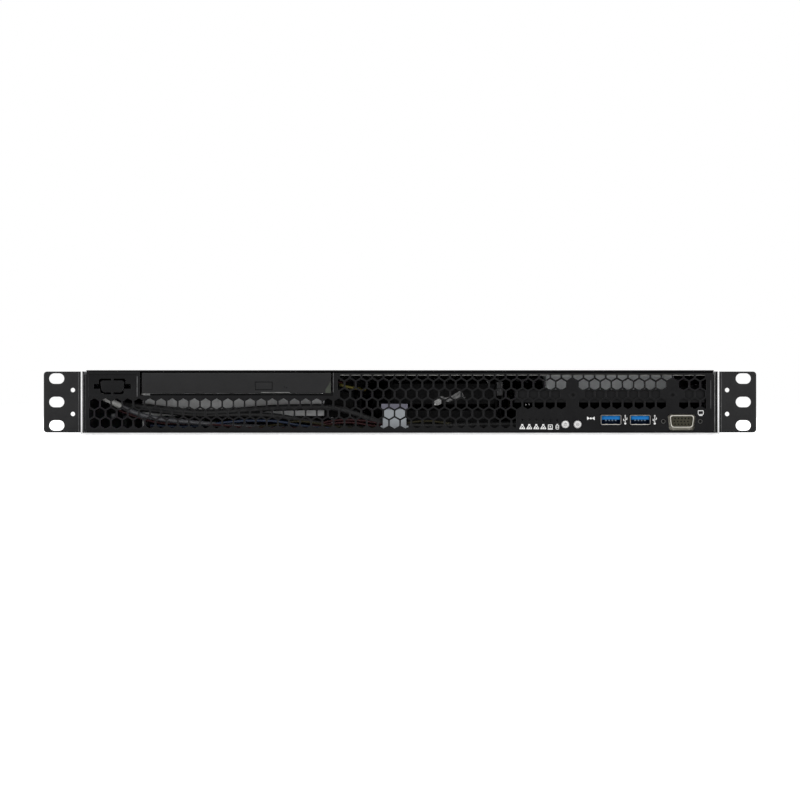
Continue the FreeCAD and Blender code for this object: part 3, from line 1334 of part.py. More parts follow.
def memory_sockets():
    """The sockets of the memory modules, grooved along their length."""
    made = []
    y0 = board_front() + DIMM_Y
    for x in DIMM_XS:
        half = DIMM_SOCKET_WIDTH / 2
        body = box(x - half, x + half, y0, y0 + DIMM_SOCKET_LENGTH, board_z(),
                   board_z() + DIMM_SOCKET_HEIGHT)
        inset = (DIMM_SOCKET_LENGTH - DIMM_LENGTH) / 2 - SEAT_GAP
        groove = box(x - DIMM_THICK / 2 - SEAT_GAP, x + DIMM_THICK / 2 + SEAT_GAP, y0 + inset,
                     y0 + DIMM_SOCKET_LENGTH - inset, board_z() + DIMM_SOCKET_HEIGHT - DIMM_SEAT,
                     board_z() + DIMM_SOCKET_HEIGHT + 1)
        made.append(body.cut(groove))
    return made


def memory_modules():
    """The memory modules, standing in the grooves."""
    y0 = board_front() + DIMM_Y + (DIMM_SOCKET_LENGTH - DIMM_LENGTH) / 2
    low = board_z() + DIMM_SOCKET_HEIGHT - DIMM_SEAT
    half = DIMM_THICK / 2
    top = WALL_TOP - DIMM_TOP_GAP
    return [box(x - half, x + half, y0, y0 + DIMM_LENGTH, low, top) for x in DIMM_XS]


def power_socket():
    """The mainboard's main power socket."""
    y0 = board_front() + CONNECTOR_INSET
    x1 = POWER_SOCKET_X + POWER_SOCKET_LENGTH
    return box(POWER_SOCKET_X, x1, y0, y0 + POWER_SOCKET_WIDTH, board_z(),
               board_z() + POWER_SOCKET_HEIGHT)


def power_plug():
    """The plug in the main power socket."""
    y0 = board_front() + CONNECTOR_INSET
    low = board_z() + POWER_SOCKET_HEIGHT
    x1 = POWER_SOCKET_X + POWER_SOCKET_LENGTH
    return box(POWER_SOCKET_X, x1, y0, y0 + POWER_SOCKET_WIDTH, low, low + POWER_PLUG_HEIGHT)


def data_headers():
    """The block of headers at the mainboard's front left corner."""
    y0 = board_front() + CONNECTOR_INSET
    return box(HEADERS_X, HEADERS_X + HEADERS_WIDTH, y0, y0 + HEADERS_DEPTH, board_z(),
               board_z() + HEADERS_HEIGHT)


def riser_socket():
    """The slot that the riser card stands in."""
    half = RISER_SOCKET_WIDTH / 2
    y0 = board_front() + RISER_FRONT
    groove_half = BOARD_THICK / 2 + SEAT_GAP
    end = RISER_SOCKET_END
    top = board_z() + RISER_SOCKET_HEIGHT
    body = box(RISER_X - half, RISER_X + half, y0, y0 + RISER_LENGTH + 2 * end, board_z(), top)
    groove = box(RISER_X - groove_half, RISER_X + groove_half, y0 + end - SEAT_GAP,
                 y0 + RISER_LENGTH + end + SEAT_GAP, top - RISER_SEAT, top + 1)
    return body.cut(groove)


def riser_card():
    """The upright riser card, with the connector for a flat-lying card."""
    y0 = board_front() + RISER_FRONT + RISER_SOCKET_END
    low = board_z() + RISER_SOCKET_HEIGHT - RISER_SEAT
    half = BOARD_THICK / 2
    card = box(RISER_X - half, RISER_X + half, y0, y0 + RISER_LENGTH, low, RISER_TOP)
    mouth_low = RISER_TOP - RISER_MOUTH_DROP
    mouth = box(RISER_X - half - RISER_MOUTH_REACH, RISER_X - half, y0 + RISER_MOUTH_INSET,
                y0 + RISER_LENGTH - RISER_MOUTH_INSET, mouth_low, mouth_low + RISER_MOUTH_HEIGHT)
    return joined([card, mouth])


# ---- rear -------------------------------------------------------------------------------
def port_block(x, size, recess):
    """A port's block, with an opening of the recess size in its rear face."""
    y1 = REAR + REAR_PORT_PROUD
    half = size[0] / 2
    body = box(x - half, x + half, y1 - REAR_PORT_DEPTH, y1, board_z(), board_z() + size[1])
    mouths = []
    for z, width, height in recess:
        mouths.append(box(x - width / 2, x + width / 2, y1 - REAR_PORT_MOUTH, y1 + 1,
                          z - height / 2, z + height / 2))
    return without(body, mouths)


def rear_usb_ports():
    """The stacked pair of ports, with their tongues."""
    heights = [board_z() + rise for rise in REAR_USB_MOUTH_ZS]
    block = port_block(REAR_USB_X, REAR_USB_SIZE, [(z, *REAR_USB_MOUTH) for z in heights])
    y1 = REAR + REAR_PORT_PROUD
    half = REAR_TONGUE[0] / 2
    lows = [z + REAR_TONGUE_RISE for z in heights]
    tongues = [box(REAR_USB_X - half, REAR_USB_X + half, y1 - REAR_PORT_MOUTH,
                   y1 - REAR_TONGUE_BACK, low, low + REAR_TONGUE[1]) for low in lows]
    return joined([block] + tongues)


def rear_dsub(x):
    """A D-sub port with its flange and a core inside the shell."""
    z = board_z() + REAR_DSUB_FLANGE[1] / 2
    y1 = REAR + REAR_PORT_PROUD
    width, height = REAR_DSUB_FLANGE
    seat = y1 - REAR_DSUB_SHELL
    back = seat - REAR_DSUB_SHEET
    flange = box(x - width / 2, x + width / 2, back, seat, z - height / 2, z + height / 2)
    shell = prism("XZ", d_outline(x, z, *REAR_DSUB_SIZE), seat, y1)
    inner = [size - 2 * REAR_DSUB_WALL for size in REAR_DSUB_SIZE]
    well = prism("XZ", d_outline(x, z, *inner), y1 - REAR_DSUB_WELL, y1 + 1)
    half = width / 2 - REAR_DSUB_BODY_INSET
    body = box(x - half, x + half, y1 - REAR_PORT_DEPTH, back, board_z(), z + height / 2)
    return joined([flange, shell, body]).cut(well)


def rear_lan_ports():
    """The two network ports."""
    z = board_z() + REAR_LAN_MOUTH_Z
    return [port_block(x, REAR_LAN_SIZE, [(z, *REAR_LAN_MOUTH)]) for x in REAR_LAN_XS]


def io_shield():
    """The thin plate round the rear ports, held in the rear wall's opening."""
    y1 = REAR
    plate = box(SHIELD_LEFT + SEAT_GAP, SHIELD_RIGHT - SEAT_GAP, y1 - SHIELD_SHEET, y1,
                SHIELD_LOW + SEAT_GAP, SHIELD_HIGH - SEAT_GAP)
    cuts = []
    blocks = [(REAR_USB_X, REAR_USB_SIZE)] + [(x, REAR_LAN_SIZE) for x in REAR_LAN_XS]
    for x, (width, height) in blocks:
        cuts.append(box(x - width / 2 - RUN_GAP, x + width / 2 + RUN_GAP, y1 - 2, y1 + 2,
                        board_z() - RUN_GAP, board_z() + height + RUN_GAP))
    z = board_z() + REAR_DSUB_FLANGE[1] / 2
    width, height = REAR_DSUB_SIZE
    for x in (REAR_SERIAL_X, REAR_VGA_X):
        cuts.append(prism("XZ", d_outline(x, z, width + 2 * RUN_GAP, height + 2 * RUN_GAP),
                          y1 - 2, y1 + 2))
    return without(plate, cuts)


def slot_cover():
    """The blank that closes the card opening from inside."""
    lap = SLOT_COVER_LAP
    return box(SLOT_OPENING_LEFT - lap, SLOT_OPENING_RIGHT + lap, REAR_IN - SLOT_COVER_SHEET,
               REAR_IN, SLOT_OPENING_LOW - lap, SLOT_OPENING_HIGH + lap)


# ---- power supply -----------------------------------------------------------------------
def psu_case():
    """The power supply's closed case, with its fan bore and its inlet's opening."""
    back = REAR_IN
    front = back - PSU_DEPTH
    body = box(PSU_LEFT, PSU_LEFT + PSU_WIDTH, front, back, FLOOR, FLOOR + PSU_HEIGHT)
    duct = bore("XZ", PSU_FAN_X, PSU_FAN_Z, FAN_BORE_R, back - PSU_FAN_BORE, back + 1, DUCT_SIDES)
    edge = PAN_BEND + SEAT_GAP
    corner = prism("YZ", [(back - edge, FLOOR), (back, FLOOR), (back, FLOOR + edge)], PSU_LEFT - 1,
                   PSU_LEFT + PSU_WIDTH + 1)
    inlet = box(INLET_X - INLET_WIDTH / 2, INLET_X + INLET_WIDTH / 2, back - INLET_DEPTH, back + 1,
                INLET_Z - INLET_HEIGHT / 2, INLET_Z + INLET_HEIGHT / 2)
    lefts = [PSU_LEFT + PSU_SLOT_INSET + k * PSU_SLOT_PITCH for k in range(PSU_SLOTS)]
    slots = [box(x, x + PSU_SLOT_WIDTH, front - 1, front + PSU_SLOT_DEPTH, PSU_SLOT_LOW,
                 PSU_SLOT_HIGH) for x in lefts]
    shaft = rod("XZ", PSU_FAN_X, PSU_FAN_Z, FAN_SHAFT_R, back - PSU_FAN_BORE - 1,
                back - PSU_SHAFT_BACK)
    return joined([without(body, [duct, inlet, corner] + slots), shaft])


def psu_fan_rotor():
    """The power supply's fan rotor, turned towards the rear."""
    back = REAR_IN
    length = PSU_FAN_BORE - PSU_FAN_GUARD_GAP - RUN_GAP
    rotor = fan_rotor(PSU_FAN_X, 0, PSU_FAN_Z, length)
    rotor.rotate(V(PSU_FAN_X, length / 2, PSU_FAN_Z), V(0, 0, 1), 180)
    rotor.translate(V(0, back - PSU_FAN_BORE + RUN_GAP, 0))
    return rotor


def psu_guard():
    """The finger guard over the power supply's fan: a square frame with two bars."""
    y0 = REAR_IN
    half = FAN_BORE_R - GUARD_INSET
    reach = FAN_BORE_R + GUARD_LAP
    plate = box(PSU_FAN_X - half, PSU_FAN_X + half, y0, y0 + GUARD_SHEET, PSU_FAN_Z - half,
                PSU_FAN_Z + half)
    bar = GUARD_BAR / 2
    rim = half - GUARD_BAR
    wells = []
    for a in (-1, 1):
        for b in (-1, 1):
            xs = sorted((PSU_FAN_X + a * bar, PSU_FAN_X + a * rim))
            zs = sorted((PSU_FAN_Z + b * bar, PSU_FAN_Z + b * rim))
            wells.append(box(xs[0], xs[1], y0 - 1, y0 + 2, zs[0], zs[1]))
    arms = [
        box(x0, x1, y0, y0 + GUARD_SHEET, PSU_FAN_Z - bar, PSU_FAN_Z + bar)
        for x0, x1 in ((PSU_FAN_X - reach, PSU_FAN_X - half), (PSU_FAN_X + half, PSU_FAN_X + reach))
    ]
    return joined([without(plate, wells)] + arms)


def psu_inlet():
    """The mains inlet: a recessed block with three blades."""
    back = REAR_IN
    half = INLET_WIDTH / 2 - INLET_FIT
    tall = INLET_HEIGHT / 2 - INLET_FIT
    floor = back - INLET_DEPTH + INLET_FLOOR
    body = box(INLET_X - half, INLET_X + half, back - INLET_DEPTH, back + PAN_SHEET,
               INLET_Z - tall, INLET_Z + tall)
    well = box(INLET_X - half + INLET_WALL, INLET_X + half - INLET_WALL, floor, REAR + 1,
               INLET_Z - tall + INLET_WALL, INLET_Z + tall - INLET_WALL)
    thick = INLET_BLADE[0] / 2
    wide = INLET_BLADE[1] / 2
    blades = [box(INLET_X + a - thick, INLET_X + a + thick, floor - 1, back - INLET_BLADE_BACK,
                  INLET_Z + b - wide, INLET_Z + b + wide) for a, b in INLET_BLADES]
    return joined([body.cut(well)] + blades)


# ---- cables -----------------------------------------------------------------------------
def cable(route, radius, name):
    """A cable through the route's points: straight runs joined by tangent arcs."""
    points = [V(*p) for p in route]
    way = (points[1] - points[0]).normalize()
    at = points[0]
    section = cable_section(at, way, radius)
    pieces = []
    radii = []
    length = 0.0
    for before, here, after in zip(points, points[1:], points[2:]):
        way = (here - before).normalize()
        leaving = (after - here).normalize()
        turn = way.getAngle(leaving)
        back = RUN_SHARE * min((here - before).Length, (after - here).Length)
        bend = back / math.tan(turn / 2)
        run = here - way * back - at
        pieces.append(section.extrude(run))
        section.translate(run)
        axis = way.cross(leaving).normalize()
        centre = at + run + axis.cross(way) * bend
        pieces.append(section.revolve(centre, axis, math.degrees(turn)))
        section.rotate(centre, axis, math.degrees(turn))
        at = here + leaving * back
        length += run.Length + bend * turn
        radii.append(round(bend, 1))
    run = points[-1] - at
    pieces.append(section.extrude(run))
    length += run.Length
    tube = joined(pieces)
    share = tube.Volume / (section.Area * length)
    print(f"{name}: {length:.0f} mm, volume {share:.4f} of expected, radii {radii}")
    return tube


def cable_section(centre, way, radius):
    """The cable's many-sided section, square to its first run."""
    side = way.cross(V(0, 0, 1)).normalize()
    up = way.cross(side)
    spots = [centre + side * a + up * b for a, b in ring(0, 0, radius, CABLE_SIDES)]
    return Part.Face(Part.makePolygon(spots + spots[:1]))


def harness_route():
    """From the power supply's front face to the main power plug."""
    plug_top = board_z() + POWER_SOCKET_HEIGHT + POWER_PLUG_HEIGHT
    x = POWER_SOCKET_X + POWER_SOCKET_LENGTH / 2
    y = board_front() + CONNECTOR_INSET + POWER_SOCKET_WIDTH / 2
    start = REAR_IN - PSU_DEPTH
    return [
        (170, start, 22), (170, start - 22, 22), (146, start - 44, 24), (100, y, 32),
        (54, y, 38.2), (x + 5.5, y, 38.2), (x, y, plug_top + 5.5), (x, y, plug_top),
    ]


def front_bundle_route():
    """From the front port board, left through the clip, and back along the left wall."""
    lane = FRONT + PANEL_FOOT + SEAT_GAP + CLIP_DEPTH / 2
    header_top = board_z() + HEADERS_HEIGHT
    x = HEADERS_X + HEADER_PIN
    y = board_front() + 10
    start_z = PORT_BOARD_TOP + BUNDLE_R + SEAT_GAP
    return [
        (88, FRONT + 21, start_z), (60, FRONT + 21, start_z), (24, lane, 5.4),
        (-40, lane, 5.4), (-96, lane - 1, 7.0), (-150, lane - 1, 15.0), (-184, lane, 20.0),
        (-202, lane + 28, 20.5), (-203, lane + 88, 14.0), (-190, y - 26, 22.0),
        (x - 23, y, 27.0), (x - 4, y, 26.0), (x, y, 22.5), (x, y, header_top),
    ]


def grey_cable_route():
    """From the optical drive's rear, forward beside its bracket and down behind the panel."""
    lane = FRONT + 5.2
    y = FRONT + 110
    return [
        (ODD_LEFT, y, 35), (-192, y, 35), (-205, y - 30, 33), (-206, y - 72, 30.5),
        (-199, lane, 26.0), (-168, lane - 0.6, 11.5), (-124, lane + 5, 4.4),
        (-74, lane + 11, 3.6), (-34, lane + 12, 4.0), (-20, FRONT + 40, 4.6),
        (LOWER_CAGE_LEFT, FRONT + 40, 4.6),
    ]


def cable_clip():
    """The white clip: a block on a wider foot, with a channel for the bundle."""
    y0 = FRONT + PANEL_FOOT + SEAT_GAP
    y1 = y0 + CLIP_DEPTH
    half = CLIP_WIDTH / 2
    body = box(CLIP_X - half, CLIP_X + half, y0, y1, FLOOR, FLOOR + CLIP_HEIGHT + CLIP_ROOF)
    foot = box(CLIP_X - CLIP_FOOT / 2, CLIP_X + CLIP_FOOT / 2, y0, y1, FLOOR,
               FLOOR + CLIP_FOOT_THICK)
    tunnel = box(CLIP_X - CLIP_FOOT, CLIP_X + CLIP_FOOT, y0 + CLIP_WALL, y1 - CLIP_WALL,
                 FLOOR + CLIP_FOOT_THICK, FLOOR + CLIP_HEIGHT)
    return joined([body, foot]).cut(tunnel)


def nodes():
    """Every node's name and its solids."""
    made = {
        "base_pan": [base_pan()],
        "front_panel": [front_panel()],
        "ear_right": [ear()],
        "ear_left": [mirrored(ear())],
        "ear_screws": ear_screws() + [mirrored(s) for s in ear_screws()],
        "top_cover": [top_cover()],
        "cover_thumbscrews": cover_knobs(),
        "panel_screws": panel_screws(),
        "optical_case": [optical_case()],
        "optical_tray": [optical_tray()],
        "optical_bezel": [optical_bezel()],
        "disc_hub": [disc_hub()],
        "eject_button": [eject_button()],
        "optical_bracket": [optical_bracket()],
        "port_board": [port_board()],
        "port_board_spacers": port_spacers(),
        "lamp_bar": [lamp_bar()],
        "power_button": [front_button(BUTTON_XS[0])],
        "locate_button": [front_button(BUTTON_XS[1])],
        "button_switches": button_switches(),
        "usb_shells": usb_shells(),
        "usb_inserts": usb_inserts(),
        "vga_shell": [vga_shell()],
        "vga_insert": [vga_insert()],
        "vga_jack_nuts": vga_jack_nuts(),
        "drive_shelf": [drive_shelf()],
        "upper_drive_cage": [upper_cage()],
        "upper_drive": [upper_drive()],
        "lower_drive_cage": [lower_cage()],
        "lower_drives": lower_drives(),
        "fan_bracket": [fan_bracket()],
        "fan_frames": [fan_frame(x) for x in FAN_XS],
        "mainboard": [mainboard()],
        "mainboard_standoffs": standoffs(),
        "cpu_socket": [cpu_socket()],
        "cpu_heatsink": [cpu_heatsink()],
        "chipset_heatsink": [chipset_heatsink()],
        "memory_sockets": memory_sockets(),
        "memory_modules": memory_modules(),
        "board_connectors": [power_socket(), data_headers()],
        "main_power_plug": [power_plug()],
        "riser_socket": [riser_socket()],
        "riser_card": [riser_card()],
        "rear_usb_ports": [rear_usb_ports()],
        "rear_serial_port": [rear_dsub(REAR_SERIAL_X)],
        "rear_vga_port": [rear_dsub(REAR_VGA_X)],
        "rear_lan_ports": rear_lan_ports(),
        "io_shield": [io_shield()],
        "slot_cover": [slot_cover()],
        "psu_case": [psu_case()],
        "psu_fan_rotor": [psu_fan_rotor()],
        "psu_fan_guard": [psu_guard()],
        "psu_inlet": [psu_inlet()],
        "power_harness": [cable(harness_route(), HARNESS_R, "power_harness")],
        "front_bundle": [cable(front_bundle_route(), BUNDLE_R, "front_bundle")],
        "grey_cable": [cable(grey_cable_route(), GREY_CABLE_R, "grey_cable")],
        "cable_clip": [cable_clip()],
    }
    for name, x in zip(("left", "middle", "right"), FAN_XS):
        made[f"fan_rotor_{name}"] = [case_fan_rotor(x)]
    return made


def main():
    """Build every node and write its file."""
    os.makedirs("parts", exist_ok=True)
    for name, shapes in nodes().items():
        save(name, shapes)


main()
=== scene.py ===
"""Looks of a short-depth 1U rack server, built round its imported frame.

Lengths are in metres, in the frame's own axes: +X to the right, +Y to the rear, +Z up. Lists of
points that read better in millimetres go through mm() or profile().
"""

import json
import logging
import math
from dataclasses import dataclass, field
from enum import Enum

import bmesh
import bpy
from mathutils import Matrix, Vector


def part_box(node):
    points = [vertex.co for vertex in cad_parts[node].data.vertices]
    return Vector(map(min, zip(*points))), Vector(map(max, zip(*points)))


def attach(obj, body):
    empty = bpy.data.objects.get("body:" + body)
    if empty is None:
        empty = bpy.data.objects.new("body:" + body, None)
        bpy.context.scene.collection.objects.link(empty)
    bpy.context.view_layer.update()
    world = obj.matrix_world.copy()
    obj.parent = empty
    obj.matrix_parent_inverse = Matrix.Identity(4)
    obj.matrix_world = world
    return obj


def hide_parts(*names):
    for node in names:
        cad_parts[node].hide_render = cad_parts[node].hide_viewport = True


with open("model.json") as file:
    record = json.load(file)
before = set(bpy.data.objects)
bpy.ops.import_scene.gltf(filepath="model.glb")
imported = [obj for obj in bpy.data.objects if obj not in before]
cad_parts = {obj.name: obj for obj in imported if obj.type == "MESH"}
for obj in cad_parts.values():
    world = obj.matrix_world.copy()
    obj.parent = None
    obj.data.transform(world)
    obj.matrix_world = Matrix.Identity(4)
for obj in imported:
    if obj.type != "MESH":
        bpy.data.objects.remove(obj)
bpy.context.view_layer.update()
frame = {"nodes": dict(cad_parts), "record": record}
log = logging.getLogger("server")

MM = 0.001
EPSILON = 1e-6
WHITE = (1.0, 1.0, 1.0, 1.0)

Outline = list[tuple[float, float]]
Route = list[tuple[float, float, float]]
Socket = bpy.types.NodeSocket


class Axis(Enum):
    """The direction along which a section is pushed or turned."""

    X = 0
    Y = 1
    Z = 2


def mm(*values: float) -> Vector:
    """A point or size given in millimetres.

    Args:
        values: Three lengths in millimetres.

    Returns:
        The same in metres.
    """
    return Vector(values) * MM


def middle(node: str) -> Vector:
    """The middle of a CAD node's box."""
    low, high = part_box(node)
    return (low + high) / 2


def profile(*spots: tuple[float, float]) -> Outline:
    """Pairs given in millimetres, such as a radius and a place along a lathe's axis."""
    return [(u * MM, v * MM) for u, v in spots]


def plug(radius: float, start: float, end: float) -> Outline:
    """The lathe profile of a plain disc or pin, from start to end along its axis."""
    return [(0.0, start), (radius, start), (radius, end), (0.0, end)]


def ends(low: float, high: float, inset: float) -> tuple[float, float]:
    """Two places, each as far inside its own end of a range."""
    return low + inset, high - inset


def handed(side: int, inner: float, outer: float) -> list[float]:
    """A range on the left (-1) or the right (1), in rising order."""
    return sorted((side * inner, side * outer))


def along(axis: Axis, u: float, v: float, w: float) -> Vector:
    """A point from its place across an axis and its place along it.

    Args:
        axis: The axis that w runs along.
        u: The first of the two other coordinates, in X, Y, Z order.
        v: The second of them.
        w: The place along the axis.

    Returns:
        The point.
    """
    return {Axis.X: Vector((w, u, v)), Axis.Y: Vector((u, w, v)), Axis.Z: Vector((u, v, w))}[axis]


def rounded_outline(width: float, height: float, radius: float, steps: int = 5) -> Outline:
    """A rectangle with round corners, about the origin.

    Args:
        width: Its full width.
        height: Its full height.
        radius: The corners' radius.
        steps: The straight pieces in each corner.

    Returns:
        The outline's points, counter-clockwise.
    """
    spots = []
    for corner, (a, b) in enumerate(((1, 1), (-1, 1), (-1, -1), (1, -1))):
        for k in range(steps + 1):
            turn = math.pi / 2 * (corner + k / steps)
            spots.append((a * (width / 2 - radius) + radius * math.cos(turn),
                          b * (height / 2 - radius) + radius * math.sin(turn)))
    return spots


def smoothed_outline(points: Outline, radius: float, steps: int = 4) -> Outline:
    """Any outline with its corners rounded by short curves.

    Args:
        points: The sharp corners in order.
        radius: How far each curve starts from its corner.
        steps: The straight pieces in each curve.

    Returns:
        The rounded outline.
    """
    spots = []
    for before, here, after in zip(points[-1:] + points[:-1], points, points[1:] + points[:1]):
        corner = Vector(here)
        start = corner + (Vector(before) - corner).normalized() * radius
        end = corner + (Vector(after) - corner).normalized() * radius
        for k in range(steps + 1):
            t = k / steps
            spot = start * (1 - t) ** 2 + corner * 2 * t * (1 - t) + end * t * t
            spots.append((spot.x, spot.y))
    return spots


def circle(radius: float, steps: int = 32, u: float = 0.0, v: float = 0.0) -> Outline:
    """The points of a circle about (u, v)."""
    turns = [2 * math.pi * k / steps for k in range(steps)]
    return [(u + radius * math.cos(t), v + radius * math.sin(t)) for t in turns]


# ---- finishes ---------------------------------------------------------------------------
class Graph:
    """A material's node tree, with short ways to add to it."""

    def __init__(self, name: str) -> None:
        """Start a material with a Principled shader.

        Args:
            name: The material's name.
        """
        self.material = bpy.data.materials.new(name)
        self.material.use_nodes = True
        self.tree = self.material.node_tree
        self.shader = self.tree.nodes["Principled BSDF"]
        self.place = self.add("ShaderNodeTexCoord").outputs["Object"]

    def add(self, kind: str, **inputs: object) -> bpy.types.Node:
        """Add a node.

        Args:
            kind: The node's type.
            inputs: Values for its sockets, with underscores for spaces.

        Returns:
            The node.
        """
        node = self.tree.nodes.new(kind)
        for name, value in inputs.items():
            node.inputs[name.replace("_", " ")].default_value = value
        return node

    def link(self, source: Socket, target: Socket) -> None:
        """Join two sockets."""
        self.tree.links.new(source, target)

    def stretched(self, scale: Vector) -> Socket:
        """The place on the object, scaled along each axis.

        Args:
            scale: The three factors.

        Returns:
            The scaled coordinates.
        """
        mapping = self.add("ShaderNodeMapping", Scale=scale)
        self.link(self.place, mapping.inputs["Vector"])
        return mapping.outputs["Vector"]

    def noise(self, scale: float, detail: float = 3.0, place: Socket | None = None) -> Socket:
        """Noise over the surface.

        Args:
            scale: Features to the metre.
            detail: Octaves of finer noise.
            place: Other coordinates than the object's own.

        Returns:
            The noise, about 0.5.
        """
        node = self.add("ShaderNodeTexNoise", Scale=scale, Detail=detail)
        self.link(place or self.place, node.inputs["Vector"])
        return node.outputs["Fac"]

    def cells(self, scale: float, randomness: float = 1.0) -> bpy.types.Node:
        """Cells that fill the surface.

        Args:
            scale: Cells to the metre.
            randomness: How uneven they are.

        Returns:
            The node, with its Distance and Color outputs.
        """
        node = self.add("ShaderNodeTexVoronoi", Scale=scale, Randomness=randomness)
        self.link(self.place, node.inputs["Vector"])
        return node

    def grey(self, colour: Socket) -> Socket:
        """The brightness of a colour.

        Args:
            colour: The colour.

        Returns:
            Its brightness.
        """
        node = self.add("ShaderNodeRGBToBW")
        self.link(colour, node.inputs["Color"])
        return node.outputs["Val"]

    def ramp(self, source: Socket, low: float, high: float, first: float = 0.35,
             last: float = 0.65) -> Socket:
        """Map a range of a value to another range.

        Args:
            source: The value.
            low: What the first value becomes.
            high: What the last value becomes.
            first: The value that becomes low.
            last: The value that becomes high.

        Returns:
            The mapped value.
        """
        node = self.add("ShaderNodeMapRange")
        for name, value in (("From Min", first), ("From Max", last), ("To Min", low), ("To Max", high)):
            node.inputs[name].default_value = value
        self.link(source, node.inputs["Value"])
        return node.outputs["Result"]

    def _mix(self, share: Socket, pair: tuple, data_type: str, name: str) -> Socket:
        """A mix node, whose sockets are told apart by the type that their identifiers end in.

        Args:
            share: How much of the second one counts.
            pair: The two that are mixed, each a socket or red, green and blue.
            data_type: What the node mixes.
            name: What the identifiers of such sockets end in.

        Returns:
            The mixed socket.
        """
        node = self.tree.nodes.new("ShaderNodeMix")
        node.data_type = data_type
        by_name = {socket.identifier: socket for socket in node.inputs}
        self.link(share, by_name["Factor_Float"])
        for letter, value in zip("AB", pair):
            socket = by_name[f"{letter}_{name}"]
            if isinstance(value, Socket):
                self.link(value, socket)
            else:
                socket.default_value = (*value, 1)
        return next(s for s in node.outputs if s.identifier == f"Result_{name}")

    def mixed(self, share: Socket, first: Socket | tuple, second: Socket | tuple) -> Socket:
        """A colour between two colours.

        Args:
            share: How much of the second colour shows.
            first: A socket, or red, green and blue.
            second: A socket, or red, green and blue.

        Returns:
            The colour.
        """
        return self._mix(share, (first, second), "RGBA", "Color")

    def between(self, share: Socket, first: Socket, second: Socket) -> Socket:
        """A value between two values.

        Args:
            share: How much of the second value counts.
            first: The first value.
            second: The second value.

        Returns:
            The value.
        """
        return self._mix(share, (first, second), "FLOAT", "Float")

    def bump(self, source: Socket, depth: float) -> None:
        """Give the shader a relief.

        Args:
            source: The height, from 0 to 1.
            depth: The relief's depth in metres.
        """
        node = self.add("ShaderNodeBump", Strength=1.0, Distance=depth)
        self.link(source, node.inputs["Height"])
        self.link(node.outputs["Normal"], self.shader.inputs["Normal"])


@dataclass(frozen=True)
class Finish:
    """A plain finish with mottled colour, uneven gloss and a fine relief.

    Args:
        name: The material's name.
        colour: Red, green and blue.
        roughness: The mean roughness.
        metallic: 1 for bare metal.
        specular: The shader's specular level.
        mottle: How far the colour strays, as a share.
        patch: Colour patches to the metre.
        grain: Relief features to the metre.
        depth: The relief's depth in metres.
        coat: The clear coat's weight.
    """

    name: str
    colour: tuple[float, float, float]
    roughness: float
    metallic: float = 0.0
    specular: float = 0.5
    mottle: float = 0.15
    patch: float = 60.0
    grain: float = 1500.0
    depth: float = 0.00003
    coat: float = 0.0

    def shades(self) -> tuple[tuple, tuple]:
        """The darkest and lightest of the finish's colours."""
        dark, light = 1 - self.mottle, 1 + self.mottle
        return tuple(c * dark for c in self.colour), tuple(min(1, c * light) for c in self.colour)

    def dress(self, graph: Graph) -> None:
        """Set up the shader.

        Args:
            graph: The material's node tree.
        """
        inputs = graph.shader.inputs
        inputs["Metallic"].default_value = self.metallic
        inputs["Specular IOR Level"].default_value = self.specular
        inputs["Coat Weight"].default_value = self.coat
        patches = graph.noise(self.patch, 4.0)
        graph.link(graph.mixed(graph.ramp(patches, 0, 1), *self.shades()), inputs["Base Color"])
        gloss = graph.ramp(graph.noise(self.patch * 3), self.roughness * 0.88, min(1, self.roughness * 1.12))
        graph.link(gloss, inputs["Roughness"])
        graph.bump(graph.noise(self.grain, 2.0), self.depth)

    def material(self) -> bpy.types.Material:
        """The Blender material, made once, under a name that no plain CAD material has."""
        full_name = f"{self.name}_finish"
        if full_name not in bpy.data.materials:
            self.dress(Graph(full_name))
        return bpy.data.materials[full_name]


@dataclass(frozen=True)
class GalvanisedSheet(Finish):
    """Zinc-coated sheet with a crystal spangle.

    Args:
        spangle: Crystals to the metre.
    """

    spangle: float = 210.0

    def dress(self, graph: Graph) -> None:
        """Add the spangle to the plain finish.

        Args:
            graph: The material's nodes.
        """
        super().dress(graph)
        crystal = graph.grey(graph.cells(self.spangle).outputs["Color"])
        share = graph.ramp(crystal, 0, 1, 0, 1)
        graph.link(graph.mixed(share, *self.shades()), graph.shader.inputs["Base Color"])
        gloss = graph.ramp(crystal, self.roughness * 0.8, self.roughness * 1.2, 0, 1)
        graph.link(gloss, graph.shader.inputs["Roughness"])


@dataclass(frozen=True)
class BrushedMetal(Finish):
    """Metal with fine parallel scratches.

    Args:
        strokes: How much each axis is stretched, so that the scratches run one way.
    """

    strokes: tuple[float, float, float] = (40.0, 4000.0, 4000.0)

    def dress(self, graph: Graph) -> None:
        """Add the scratches to the plain finish.

        Args:
            graph: The material's nodes.
        """
        super().dress(graph)
        lines = graph.noise(1.0, 4.0, graph.stretched(Vector(self.strokes)))
        gloss = graph.ramp(lines, self.roughness * 0.7, min(1, self.roughness * 1.35))
        graph.link(gloss, graph.shader.inputs["Roughness"])
        graph.bump(lines, self.depth)


